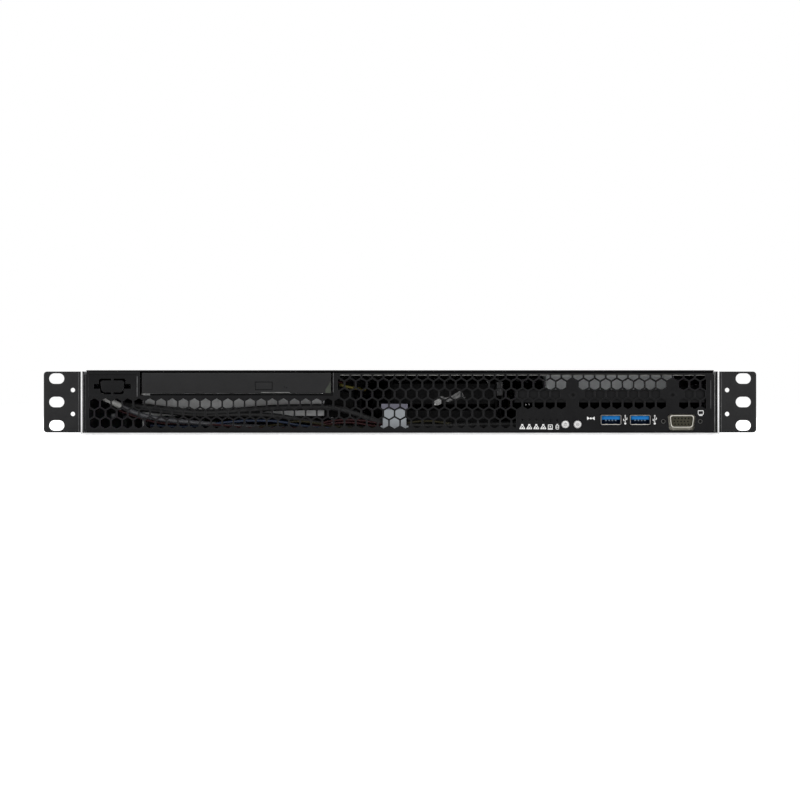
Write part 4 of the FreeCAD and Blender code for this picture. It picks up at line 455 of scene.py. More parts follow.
@dataclass(frozen=True)
class CircuitBoard(Finish):
    """Solder mask over copper tracks.

    Args:
        track: The lighter colour over the tracks.
        cells: Fields of parallel tracks to the metre.
        via: The colour of the plated holes.
        via_cells: Plated holes to the metre.
        track_stretch: The noise's scale across and along the tracks.
    """

    track: tuple[float, float, float] = (0.02, 0.13, 0.055)
    cells: float = 90.0
    via: tuple[float, float, float] = (0.4, 0.33, 0.16)
    via_cells: float = 330.0
    track_stretch: tuple[float, float] = (2600.0, 90.0)

    def dress(self, graph: Graph) -> None:
        """Add the tracks to the plain finish.

        Args:
            graph: The material's nodes.
        """
        super().dress(graph)
        across, lengthwise = self.track_stretch
        along_x = graph.noise(1.0, 2.0, graph.stretched(Vector((lengthwise, across, lengthwise))))
        along_y = graph.noise(1.0, 2.0, graph.stretched(Vector((across, lengthwise, lengthwise))))
        fields = graph.cells(self.cells, 0.9)
        fields.distance = "MANHATTAN"
        turn = graph.ramp(graph.grey(fields.outputs["Color"]), 0, 1, 0.49, 0.51)
        share = graph.ramp(graph.between(turn, along_x, along_y), 0, 1, 0.53, 0.56)
        plated = graph.ramp(graph.cells(self.via_cells).outputs["Distance"], 1, 0, 0.14, 0.18)
        tracks = graph.mixed(share, self.colour, self.track)
        graph.link(graph.mixed(plated, tracks, self.via), graph.shader.inputs["Base Color"])
        graph.bump(share, self.depth)


@dataclass(frozen=True)
class BraidedSleeve(Finish):
    """Wires that lie side by side under a dull jacket.

    Args:
        turns: Twists to the metre.
    """

    turns: float = 220.0

    def dress(self, graph: Graph) -> None:
        """Add a twist to the plain finish.

        Args:
            graph: The material's nodes.
        """
        super().dress(graph)
        wave = graph.add("ShaderNodeTexWave", Scale=self.turns, Distortion=1.5)
        wave.wave_type = "BANDS"
        wave.bands_direction = "DIAGONAL"
        graph.link(graph.place, wave.inputs["Vector"])
        graph.bump(wave.outputs["Fac"], self.depth)


BLACK_COAT = Finish("black_powder_coat", (0.0075, 0.0075, 0.008), 0.5, specular=0.09, mottle=0.1,
                    patch=90.0, grain=2600.0, depth=0.00002)
EAR_COAT = Finish("black_ear_coat", (0.013, 0.013, 0.0135), 0.52, specular=0.17, mottle=0.08,
                  patch=90.0, grain=2600.0, depth=0.00002)
COVER_COAT = Finish("black_cover_coat", (0.009, 0.009, 0.0095), 0.48, specular=0.14, mottle=0.1,
                    patch=70.0, grain=2600.0, depth=0.00002)
ZINC = GalvanisedSheet("zinc_sheet", (0.37, 0.375, 0.385), 0.48, metallic=0.5, specular=0.3, mottle=0.15)
CUT_EDGE = BrushedMetal("cut_zinc_edge", (0.82, 0.82, 0.82), 0.4, metallic=1.0, mottle=0.06)
DULL_ZINC = GalvanisedSheet("dull_zinc_sheet", (0.46, 0.465, 0.465), 0.6, metallic=0.0, specular=0.15,
                            mottle=0.09)
# Zinc sheet made much lighter to stand in for the light that falls on it: painted light.
ZINC_PAINTED_LIGHT = GalvanisedSheet("zinc_sheet_painted_light", (0.84, 0.86, 0.87), 0.6, metallic=0.0, specular=0.2,
                            mottle=0.07)
# A lighter black for the upright vent edges: a painted highlight.
VENT_EDGE_HIGHLIGHT = Finish("vent_edge_painted_highlight", (0.022, 0.022, 0.023), 0.5, specular=0.14, mottle=0.3, patch=300.0)
SHADED_ZINC = GalvanisedSheet("shaded_zinc_sheet", (0.11, 0.11, 0.112), 0.6, metallic=0.0,
                              specular=0.1, mottle=0.1)
# A greenish grey for the bezel's rounded corner: a painted reflection.
CORNER_REFLECTION_PAINT = Finish("painted_corner_reflection", (0.032, 0.036, 0.028), 0.4, specular=0.2, mottle=0.2)
# Lighter coat colours for thin strips that are painted highlights on folds and edges.
DIM_EDGE_HIGHLIGHT = Finish("dim_painted_highlight", (0.075, 0.075, 0.077), 0.5, specular=0.25, mottle=0.25, patch=300.0)
BRIGHT_EDGE_HIGHLIGHT = Finish("bright_painted_highlight", (0.21, 0.21, 0.205), 0.45, specular=0.3, mottle=0.3, patch=200.0)
# Near-black for blocks that stand in for shade: painted shade.
SHADE_BLACK = Finish("black_painted_shade", (0.006, 0.006, 0.006), 0.9, specular=0.05, grain=1200.0, depth=0.0002)
CAST_BLACK = Finish("black_casting", (0.007, 0.007, 0.0075), 0.6, specular=0.12)
PLAIN_STEEL = BrushedMetal("plain_steel", (0.5, 0.5, 0.5), 0.35, metallic=1.0, mottle=0.08)
BLACK_PLASTIC = Finish("black_plastic", (0.02, 0.02, 0.021), 0.42, specular=0.4, grain=3200.0)
BEZEL_PLASTIC = Finish("bezel_plastic", (0.013, 0.013, 0.0135), 0.46, specular=0.16, mottle=0.08,
                       patch=80.0, grain=3200.0, depth=0.00001)
FAN_PLASTIC = Finish("fan_plastic", (0.012, 0.012, 0.013), 0.5, specular=0.4)
SCREW_STEEL = BrushedMetal("screw_steel", (0.56, 0.56, 0.57), 0.3, metallic=1.0)
BLACK_SCREW = Finish("black_screw", (0.008, 0.008, 0.0085), 0.45, specular=0.1)
WHITE_CAP = Finish("white_button_plastic", (0.62, 0.615, 0.61), 0.3, mottle=0.03, depth=0.00001)
GLYPH_GREY = Finish("button_glyph_grey", (0.2, 0.2, 0.2), 0.6, mottle=0.05)
PRINT_WHITE = Finish("white_print", (0.78, 0.78, 0.77), 0.6, mottle=0.06, patch=900.0)
CLIP_NYLON = Finish("clip_nylon", (0.47, 0.5, 0.53), 0.5, mottle=0.05, specular=0.2)
CLIP_SHADE = Finish("clip_nylon_shaded", (0.22, 0.215, 0.27), 0.5, mottle=0.1, specular=0.2)
PORT_STEEL = BrushedMetal("port_plating", (0.62, 0.6, 0.54), 0.3, metallic=1.0, mottle=0.05)
FLANGE_STEEL = BrushedMetal("flange_plating", (0.42, 0.4, 0.34), 0.45, metallic=1.0, mottle=0.08)
USB_STEEL = BrushedMetal("usb_plating", (0.3, 0.29, 0.28), 0.35, metallic=1.0, mottle=0.1)
BLUE_MOULDING = Finish("blue_moulding", (0.003, 0.14, 0.42), 0.35, mottle=0.08, specular=0.2)
BLUE_DARK = Finish("blue_moulding_shaded", (0.0, 0.022, 0.085), 0.5, mottle=0.1, specular=0.15)
NUT_DARK = BrushedMetal("dark_nut_plating", (0.12, 0.12, 0.115), 0.4, metallic=1.0, mottle=0.2)
PIN_GREY = Finish("pin_grey", (0.2, 0.27, 0.34), 0.4, mottle=0.1, specular=0.3)
CHOKE_GREY = Finish("choke_grey", (0.11, 0.11, 0.115), 0.5, mottle=0.1)
PORT_GREY = Finish("port_grey_moulding", (0.044, 0.041, 0.028), 0.55, mottle=0.1, specular=0.1)
# Near-black for discs and crosses that stand in for the shade inside holes: painted shade.
HOLE_SHADE = Finish("painted_hole_shade", (0.004, 0.004, 0.004), 0.7, specular=0.1)
CONTACT_GOLD = BrushedMetal("contact_gold", (0.86, 0.62, 0.28), 0.25, metallic=1.0)
CONTACT_TIN = BrushedMetal("contact_tin", (0.6, 0.6, 0.6), 0.3, metallic=1.0)
LAMP_CLEAR = Finish("lamp_clear", (0.07, 0.072, 0.075), 0.2, specular=0.3, mottle=0.05)
BOARD_GREEN = CircuitBoard("green_board", (0.008, 0.07, 0.03), 0.35, mottle=0.1, depth=0.00002)
CHIP_BLACK = Finish("chip_black", (0.018, 0.018, 0.019), 0.55, mottle=0.1)
FIN_ALUMINIUM = BrushedMetal("fin_aluminium", (0.44, 0.44, 0.45), 0.42, metallic=0.8, mottle=0.05,
                             depth=0.000005)
BRASS = BrushedMetal("turned_brass", (0.72, 0.55, 0.25), 0.3, metallic=1.0)
PLUG_CREAM = Finish("plug_cream", (0.66, 0.62, 0.47), 0.45, mottle=0.06)
CAN_TOP = BrushedMetal("can_aluminium", (0.72, 0.72, 0.73), 0.28, metallic=1.0)
CAN_SLEEVE = Finish("can_sleeve", (0.02, 0.02, 0.05), 0.35)
GASKET = BraidedSleeve("conductive_gasket", (0.3, 0.3, 0.285), 0.5, metallic=0.0, mottle=0.2, patch=400.0)
JACKET_BLACK = BraidedSleeve("black_jacket", (0.009, 0.009, 0.0095), 0.45, specular=0.35)
# The grey and coloured jackets are kept very dark, as painted shade for the dark behind the vents; the
# lighter yellow is the same yellow with less of that shade, for the upper wire.
JACKET_GREY = Finish("grey_jacket", (0.05, 0.051, 0.058), 0.26, mottle=0.14, specular=0.6)
# A paler copy of the grey jacket for the cable's first stretch: painted light where it shows lit behind the
# vents.
GREY_JACKET_LIT = Finish("grey_jacket_painted_light", (0.33, 0.33, 0.32), 0.45, mottle=0.12, specular=0.3)
JACKET_RED = Finish("red_jacket", (0.032, 0.007, 0.008), 0.42, specular=0.25)
JACKET_BLUE = Finish("blue_jacket", (0.009, 0.019, 0.046), 0.32, specular=0.45)
JACKET_YELLOW_LIGHTER = Finish("yellow_jacket_lighter", (0.095, 0.082, 0.012), 0.42, specular=0.25)
JACKET_YELLOW = Finish("yellow_jacket", (0.028, 0.024, 0.009), 0.42, specular=0.25)
TAPE_SILVER = Finish("silver_tape", (0.76, 0.76, 0.75), 0.35, metallic=0.2, mottle=0.3, patch=500.0)
TAPE_DULL = Finish("dull_silver_tape", (0.28, 0.28, 0.28), 0.35, metallic=0.3, mottle=0.3, patch=400.0)


# ---- making pieces ----------------------------------------------------------------------
ROUNDED_ANGLE = math.radians(25.0)
SHARP_ANGLE = math.radians(32.0)


def placed(name: str, data: bpy.types.ID) -> bpy.types.Object:
    """Put a new object into the scene.

    Args:
        name: Its name.
        data: Its mesh, curve, lamp or camera.

    Returns:
        The object.
    """
    thing = bpy.data.objects.new(name, data)
    bpy.context.scene.collection.objects.link(thing)
    return thing


class Stock:
    """A mesh in the making: forms are added to it, and then it becomes one piece."""

    def __init__(self) -> None:
        """Start with nothing."""
        self.bm = bmesh.new()

    def _bevel(self, edges: list, size: float, segments: int = 2, clamped: bool = True) -> None:
        """Round edges, where there is a size to round them to.

        Args:
            edges: The edges.
            size: The rounding's radius.
            segments: How finely they are rounded.
            clamped: Whether a rounding stops where it meets the next one.
        """
        if size > 0:
            bmesh.ops.bevel(self.bm, geom=edges, offset=size, segments=segments, profile=0.5,
                            affect="EDGES", clamp_overlap=clamped)

    def _ring(self, outline: Outline, axis: Axis, w: float, centre: tuple[float, float]) -> list:
        """The corners of an outline at one place along an axis."""
        return [self.bm.verts.new(along(axis, u + centre[0], v + centre[1], w)) for u, v in outline]

    def block(self, low: Vector, high: Vector, edge: float = 0.0, segments: int = 2) -> "Stock":
        """Add a block with round edges.

        Args:
            low: Its lowest corner.
            high: Its highest corner.
            edge: The edges' radius.
            segments: How finely they are rounded.

        Returns:
            This stock.
        """
        size = Vector(high) - Vector(low)
        place = Matrix.Translation((Vector(low) + Vector(high)) / 2) @ Matrix.Diagonal((*size, 1))
        made = bmesh.ops.create_cube(self.bm, size=1.0, matrix=place)
        edges = {e for v in made["verts"] for e in v.link_edges if e.calc_face_angle(0) > ROUNDED_ANGLE}
        self._bevel(list(edges), edge, segments)
        return self

    def plate(self, outline: Outline, axis: Axis, start: float, end: float,
              edge: float = 0.0, centre: tuple[float, float] = (0.0, 0.0)) -> "Stock":
        """Add an outline pushed along an axis.

        Args:
            outline: Points across the axis.
            axis: The axis that it is pushed along.
            start: Where it starts.
            end: Where it ends.
            edge: The radius of its rims.
            centre: What is added to each point.

        Returns:
            This stock.
        """
        rings = [self._ring(outline, axis, w, centre) for w in (start, end)]
        faces = [self.bm.faces.new(ring) for ring in rings]
        rim = [e for face in faces for e in face.edges]
        for k in range(len(outline)):
            faces.append(self.bm.faces.new((rings[0][k - 1], rings[0][k], rings[1][k], rings[1][k - 1])))
        bmesh.ops.recalc_face_normals(self.bm, faces=faces)
        self._bevel(rim, edge)
        return self

    def hoop(self, outer: Outline, inner: Outline, axis: Axis, start: float, end: float,
             edge: float = 0.0, centre: tuple[float, float] = (0.0, 0.0)) -> "Stock":
        """Add a wall between two outlines of as many points.

        Args:
            outer: The outside points.
            inner: The inside points.
            axis: The axis that the wall runs along.
            start: Where it starts.
            end: Where it ends.
            edge: The radius of its rims.
            centre: What is added to each point.

        Returns:
            This stock.
        """
        walls = ((outer, start), (outer, end), (inner, end), (inner, start))
        loops = [self._ring(outline, axis, w, centre) for outline, w in walls]
        faces = []
        for a in range(len(loops)):
            first, second = loops[a - 1], loops[a]
            for k in range(len(outer)):
                faces.append(self.bm.faces.new((first[k - 1], first[k], second[k], second[k - 1])))
        bmesh.ops.recalc_face_normals(self.bm, faces=faces)
        rims = {e for loop in loops for v in loop for e in v.link_edges if e.other_vert(v) in loop}
        self._bevel(list(rims), edge)
        return self

    def turned(self, centre: Vector, axis: Axis, outline: Outline, steps: int = 28) -> "Stock":
        """Add a form turned on a lathe.

        Args:
            centre: The point that the outline is measured from.
            axis: The lathe's axis.
            outline: Radius and place along the axis, from one end to the other.
            steps: The facets round it.

        Returns:
            This stock.
        """
        place = list(centre)
        w0 = place.pop(axis.value)
        rings = []
        for radius, w in outline:
            if radius < EPSILON:
                rings.append([self.bm.verts.new(along(axis, place[0], place[1], w0 + w))])
                continue
            rings.append([self.bm.verts.new(along(axis, u, v, w0 + w))
                          for u, v in circle(radius, steps, place[0], place[1])])
        faces = []
        for first, second in zip(rings, rings[1:]):
            for k in range(steps):
                corners = [first[(k - 1) % len(first)], first[k % len(first)],
                           second[k % len(second)], second[(k - 1) % len(second)]]
                unique = list(dict.fromkeys(corners))
                if len(unique) > 2:
                    faces.append(self.bm.faces.new(unique))
        for ring in (rings[0], rings[-1]):
            if len(ring) > 2:
                faces.append(self.bm.faces.new(ring))
        bmesh.ops.recalc_face_normals(self.bm, faces=faces)
        return self

    def copied(self, node: str, edge: float, segments: int = 2) -> "Stock":
        """Add a CAD node's form with its edges rounded.

        Args:
            node: The node's name.
            edge: The edges' radius.
            segments: How finely they are rounded.

        Returns:
            This stock.
        """
        self.bm.from_mesh(frame["nodes"][node].data)
        bmesh.ops.remove_doubles(self.bm, verts=self.bm.verts, dist=2 * EPSILON)
        edges = [e for e in self.bm.edges if e.calc_face_angle(0) > ROUNDED_ANGLE]
        self._bevel(edges, edge, segments, clamped=False)
        return self

    def piece(self, name: str, finish: Finish, body: str, slot: str,
              stands_for: tuple[str, ...] = ()) -> bpy.types.Object:
        """Turn the stock into a finished piece.

        Args:
            name: The piece's name.
            finish: What it is coated with.
            body: The body that it moves with.
            slot: The record's material slot; not used.
            stands_for: CAD nodes that it is shown in place of.

        Returns:
            The Blender object.
        """
        mesh = bpy.data.meshes.new(name)
        self.bm.to_mesh(mesh)
        self.bm.free()
        mesh.shade_smooth()
        mesh.set_sharp_from_angle(angle=SHARP_ANGLE)
        return settle(placed(name, mesh), finish, body, stands_for)


def settle(thing: bpy.types.Object, finish: Finish, body: str,
           stands_for: tuple[str, ...] = ()) -> bpy.types.Object:
    """Give an object its finish and its place in the frame.

    Args:
        thing: The object.
        finish: Its finish.
        body: The body that it moves with.
        stands_for: CAD nodes that it is shown in place of.

    Returns:
        The same object.
    """
    thing.data.materials.clear()
    thing.data.materials.append(finish.material())
    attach(thing, body)
    if stands_for:
        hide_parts(*stands_for)
    log.info("%s: %s on %s", thing.name, finish.name, body)
    return thing


def softened(node: str, finish: Finish, body: str = "chassis", edge: float = 0.15,
             segments: int = 2) -> bpy.types.Object:
    """Show a CAD node with its edges rounded.

    Args:
        node: The node's name.
        finish: Its finish.
        body: The body that it moves with.
        edge: The edges' radius in millimetres.
        segments: How finely they are rounded.

    Returns:
        The piece.
    """
    slot = next(s["material_slot"] for s in frame["record"]["subparts"] if s["node"] == node)
    return Stock().copied(node, edge * MM, segments).piece(f"{node}_shown", finish, body, slot, (node,))


def strand(name: str, points: Route, diameter: float, finish: Finish,
           stands_for: tuple[str, ...] = ()) -> bpy.types.Object:
    """A wire along a smooth curve.

    Args:
        name: The piece's name.
        points: The curve's control points in millimetres.
        diameter: The wire's diameter in millimetres.
        finish: Its finish.
        stands_for: CAD nodes that it is shown in place of.

    Returns:
        The piece.
    """
    curve = bpy.data.curves.new(name, "CURVE")
    curve.dimensions = "3D"
    curve.bevel_depth = diameter * MM / 2
    curve.bevel_resolution = 3
    curve.resolution_u = 8
    curve.use_fill_caps = True
    spline = curve.splines.new("NURBS")
    spline.points.add(len(points) - 1)
    for spot, point in zip(spline.points, points):
        spot.co = (*mm(*point), 1.0)
    spline.order_u = 3
    spline.use_endpoint_u = True
    return settle(placed(name, curve), finish, "chassis", stands_for)


def cross_head(stock: Stock, centre: Vector, axis: Axis, radius: float, rise: float, outward: int) -> Stock:
    """Add a flat screw head with a cross recess.

    Args:
        stock: What it is added to.
        centre: The middle of the head's seat.
        axis: The screw's axis.
        radius: The head's radius.
        rise: The head's height.
        outward: 1 or -1, the way the head faces along its axis.

    Returns:
        The same stock.
    """
    lip = 0.2 * rise
    stock.turned(centre, axis, [(0.0, 0.0), (radius, 0.0), (radius, outward * (rise - lip)),
                                (radius - lip, outward * rise), (0.52 * radius, outward * rise),
                                (0.42 * radius, outward * rise * 0.55), (0.0, outward * rise * 0.5)], 24)
    arm = 0.12 * radius
    for k in (0, 1):
        half = [arm, arm, arm]
        half[(axis.value + 1 + k) % 3] = 0.5 * radius
        half[axis.value] = 0.02 * MM
        middle_spot = Vector(centre)
        middle_spot[axis.value] += outward * (rise + 0.01 * MM)
        stock.block(middle_spot - Vector(half), middle_spot + Vector(half))
    return stock


def frame_round(stock: Stock, node: str, outer: tuple[float, float, float],
                inner: tuple[float, float, float], start: float, end: float, edge: float) -> None:
    """Add a flat frame round a node, square to the Y axis.

    Args:
        stock: What it is added to.
        node: The node's name.
        outer: What the frame adds to the node's width and height, and its corners, in millimetres.
        inner: The same for its opening.
        start: Where it starts along Y.
        end: Where it ends along Y.
        edge: The radius of its rims.
    """
    low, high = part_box(node)
    centre = middle(node)
    outlines = [rounded_outline(high.x - low.x + wide * MM, high.z - low.z + tall * MM, corner * MM)
                for wide, tall, corner in (outer, inner)]
    stock.hoop(*outlines, Axis.Y, start, end, edge, (centre.x, centre.z))


D_TAPER = 0.12
D_CORNER = 1.9 * MM


def d_outline(width: float, height: float) -> Outline:
    """The outline of a D-shaped port, whose lower side is the narrower one.

    Args:
        width: Its widest part.
        height: Its height.

    Returns:
        The outline's points.
    """
    top, low, half = width / 2, width / 2 - height * D_TAPER, height / 2
    return smoothed_outline([(low, -half), (top, half), (-top, half), (-low, -half)], D_CORNER, 5)


# ---- the studio -------------------------------------------------------------------------
@dataclass
class Studio:
    """Camera, white surround, pale floor and soft lamps.

    Args:
        distance: From the camera to the rack ears.
        view_width: What the picture's width takes in at the ears.
        eye_height: The camera's height above the floor.
        floor_size: The floor's width.
        floor_drop: How far the floor lies under the server.
        floor_glow: How much the camera sees the floor glow.
        surround: The strength of the plain light from all round.
        sensor_width: The camera's sensor, in millimetres.
        clip_end: How far the camera sees.
        aim: What the lamps face.
        lamps: Name, place, width and height, and watts of each lamp.
    """

    distance: float = 3.0
    view_width: float = 0.5418
    eye_height: float = 0.0232
    floor_size: float = 30.0
    floor_drop: float = 0.0002
    floor_glow: float = 0.45
    surround: float = 0.75
    sensor_width: float = 36.0
    clip_end: float = 60.0
    aim: tuple[float, float, float] = (0.0, 0.0, 0.03)
    lamps: tuple = (("lamp_left", (-2.2, -1.4, 0.7), (0.7, 2.2), 26.0),
                    ("lamp_right", (2.2, -1.4, 0.7), (0.7, 2.2), 26.0),
                    ("lamp_above", (0.0, -0.2, 2.2), (2.4, 1.6), 26.0),
                    ("lamp_behind", (0.4, 2.4, 1.3), (2.0, 1.2), 14.0))

    def camera(self) -> None:
        """A long lens, level and square to the front."""
        data = bpy.data.cameras.new("camera")
        data.sensor_width = self.sensor_width
        data.lens = data.sensor_width * self.distance / self.view_width
        data.clip_end = self.clip_end
        thing = placed("camera", data)
        thing.location = (0.0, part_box("ear_left")[0].y - self.distance, self.eye_height)
        thing.rotation_euler = (math.pi / 2, 0.0, 0.0)
        bpy.context.scene.camera = thing

    def world(self) -> None:
        """White where it is seen or mirrored, and plain grey light elsewhere."""
        world = bpy.data.worlds.new("white_surround")
        bpy.context.scene.world = world
        world.use_nodes = True
        tree = world.node_tree
        tree.nodes.clear()
        path = tree.nodes.new("ShaderNodeLightPath")
        seen = path.outputs["Is Camera Ray"]
        for ray in ("Is Glossy Ray", "Is Transmission Ray"):
            either = tree.nodes.new("ShaderNodeMath")
            either.operation = "MAXIMUM"
            tree.links.new(seen, either.inputs[0])
            tree.links.new(path.outputs[ray], either.inputs[1])
            seen = either.outputs[0]
        mix = tree.nodes.new("ShaderNodeMixShader")
        tree.links.new(seen, mix.inputs[0])
        for k, strength in enumerate((self.surround, 1.0)):
            light = tree.nodes.new("ShaderNodeBackground")
            light.inputs["Color"].default_value = WHITE
            light.inputs["Strength"].default_value = strength
            tree.links.new(light.outputs[0], mix.inputs[k + 1])
        out = tree.nodes.new("ShaderNodeOutputWorld")
        tree.links.new(mix.outputs[0], out.inputs["Surface"])

    def lamp(self, name: str, place: tuple[float, float, float], size: tuple[float, float],
             power: float) -> None:
        """A soft rectangular lamp that faces the server.

        Args:
            name: The lamp's name.
            place: Where it hangs.
            size: Its width and height.
            power: Its power in watts.
        """
        data = bpy.data.lights.new(name, "AREA")
        data.shape = "RECTANGLE"
        data.size, data.size_y = size
        data.energy = power
        thing = placed(name, data)
        thing.location = place
        thing.rotation_euler = (Vector(self.aim) - Vector(place)).to_track_quat("-Z", "Y").to_euler()

    def floor(self) -> None:
        """A pale floor that keeps the shadow."""
        stock = Stock()
        half = self.floor_size / 2
        square = ((-half, -half), (half, -half), (half, half), (-half, half))
        stock.bm.faces.new([stock.bm.verts.new((x, y, -self.floor_drop)) for x, y in square])
        mesh = bpy.data.meshes.new("studio_floor")
        stock.bm.to_mesh(mesh)
        stock.bm.free()
        thing = placed("studio_floor", mesh)
        material = bpy.data.materials.new("pale_floor")
        material.use_nodes = True
        tree = material.node_tree
        shader = tree.nodes["Principled BSDF"]
        shader.inputs["Base Color"].default_value = (0.78, 0.78, 0.78, 1)
        shader.inputs["Roughness"].default_value = 0.9
        shader.inputs["Specular IOR Level"].default_value = 0.1
        path = tree.nodes.new("ShaderNodeLightPath")
        glow = tree.nodes.new("ShaderNodeMath")
        glow.operation = "MULTIPLY"
        glow.inputs[1].default_value = self.floor_glow
        tree.links.new(path.outputs["Is Camera Ray"], glow.inputs[0])
        tree.links.new(glow.outputs[0], shader.inputs["Emission Strength"])
        shader.inputs["Emission Color"].default_value = WHITE
        mesh.materials.append(material)

    def build(self) -> None:
        """Set up everything round the server."""
        bpy.context.scene.view_settings.view_transform = "Standard"
        self.camera()
        self.world()
        self.floor()
        for lamp in self.lamps:
            self.lamp(*lamp)
        log.info("studio: camera, surround, floor and lamps")


# ---- the case ---------------------------------------------------------------------------
@dataclass
class Case:
    """Base pan, rack ears and their screws.

    Args:
        edge: The rounding of the sheet's edges in millimetres.
        strip: The thickness of the bright cut edge.
        sheet: The pan's sheet.
        inset: How far the cut edge's face stops short of the sheet's corners.
        fold: Where the lighter strip painted as the highlight on an ear's fold starts and ends, from the
            server's middle.
        screw_spots: How far behind an ear's front its screws sit.
    """

    edge: float = 0.12
    strip: float = 0.04 * MM
    sheet: float = 1.0 * MM
    inset: float = 0.08 * MM
    fold: tuple[float, float] = (217.5 * MM, 217.85 * MM)
    screw_spots: tuple[float, float] = (14.0 * MM, 36.0 * MM)

    def pan(self) -> None:
        """The zinc-coated pan, with its bright cut front edges."""
        softened("base_pan", ZINC, edge=self.edge)
        low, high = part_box("base_pan")
        y0, y1 = low.y - self.strip, low.y + self.strip
        x0, x1 = ends(low.x, high.x, self.inset)
        z0, z1 = ends(low.z, low.z + self.sheet, self.inset)
        top = high.z - self.inset
        edges, folds = Stock(), Stock()
        edges.block((x0, y0, z0), (x1, y1, z1), 0.1 * MM)
        for side in (-1, 1):
            x0, x1 = handed(side, high.x + 0.1 * MM, high.x + self.sheet + 0.2 * MM)
            edges.block((x0, y0 - self.strip, z0), (x1, y1, top), 0.1 * MM)
            x0, x1 = handed(side, high.x - self.sheet - 0.1 * MM, high.x + 0.08 * MM)
            folds.block((x0, y0 - self.strip, low.z + self.sheet), (x1, y1, top), 0.1 * MM)
        edges.piece("pan_cut_edges", CUT_EDGE, "chassis", "zinc_sheet")
        folds.piece("panel_side_folds", BLACK_COAT, "chassis", "black_paint")

    def ears(self) -> None:
        """The two black ears, with a thin lighter strip along the fold, painted as the fold's highlight."""
        for node in ("ear_right", "ear_left"):
            softened(node, EAR_COAT, edge=0.22)
        low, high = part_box("ear_left")
        z0, z1 = ends(low.z, high.z, 0.4 * MM)
        # A thin lighter strip on each ear's fold: a painted highlight.
        lines = Stock()
        for side in (-1, 1):
            x0, x1 = handed(side, *self.fold)
            lines.block((x0, low.y - self.strip, z0), (x1, low.y + self.strip, z1), 0.04 * MM)
        lines.piece("ear_fold_highlights", DIM_EDGE_HIGHLIGHT, "chassis", "black_paint")

    def screws(self) -> None:
        """Black screws in the ears' side legs."""
        stock = Stock()
        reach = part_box("ear_screws")[1].x - 1.4 * MM
        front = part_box("ear_right")[0].y
        for side in (-1, 1):
            for spot in self.screw_spots:
                seat = Vector((side * reach, front + spot, middle("ear_screws").z))
                cross_head(stock, seat, Axis.X, 2.8 * MM, 1.3 * MM, side)
                stock.turned(seat, Axis.X, plug(1.45 * MM, -side * 4.2 * MM, 0.0), 16)
        stock.piece("ear_screws_shown", BLACK_SCREW, "chassis", "black_screw", ("ear_screws",))

    def build(self) -> None:
        """Make the pan, ears and screws."""
        self.pan()
        self.ears()
        self.screws()


@dataclass
class Cover:
    """The sliding top cover and its two thumbscrews.

    Args:
        knob_radius: The thumbscrew head's radius.
        knob_depth: The head's length.
        flutes: The grooves round the head.
    """

    knob_radius: float = 4.5 * MM
    knob_depth: float = 7.2 * MM
    flutes: int = 24

    def knob(self, stock: Stock, seat: Vector) -> None:
        """A knurled head and its collar.

        Args:
            stock: What it is added to.
            seat: The middle of the head's inner face.
        """
        outline = []
        for k in range(self.flutes * 4):
            turn = 2 * math.pi * k / (self.flutes * 4)
            radius = self.knob_radius * (1 - 0.035 * (1 + math.cos(turn * self.flutes)))
            outline.append((radius * math.cos(turn), radius * math.sin(turn)))
        stock.plate(outline, Axis.Y, seat.y + 1.2 * MM, seat.y + self.knob_depth, 0.25 * MM,
                    (seat.x, seat.z))
        stock.turned(seat, Axis.Y, plug(self.knob_radius * 0.8, 0.0, 1.3 * MM), 32)

    def build(self) -> None:
        """Make the cover and the thumbscrews."""
        softened("top_cover", COVER_COAT, "cover", edge=0.2)
        low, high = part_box("cover_thumbscrews")
        stock = Stock()
        z = middle("cover_thumbscrews").z
        for x in ends(low.x, high.x, self.knob_radius):
            seat = Vector((x, high.y - self.knob_depth, z))
            self.knob(stock, seat)
            stock.turned(seat, Axis.Y, profile((1.6, 0.0), (1.6, -4.0), (1.2, -4.6), (0.0, -4.6)), 24)
        stock.piece("thumbscrews_shown", SCREW_STEEL, "cover", "screw_steel", ("cover_thumbscrews",))


# ---- the front --------------------------------------------------------------------------
class Mark(Enum):
    """The printed marks on the front."""

    LINK = "link"
    SQUARE = "square"
    STORE = "store"
    TRIO = "trio"
    PLUG = "plug"
    SCREEN = "screen"


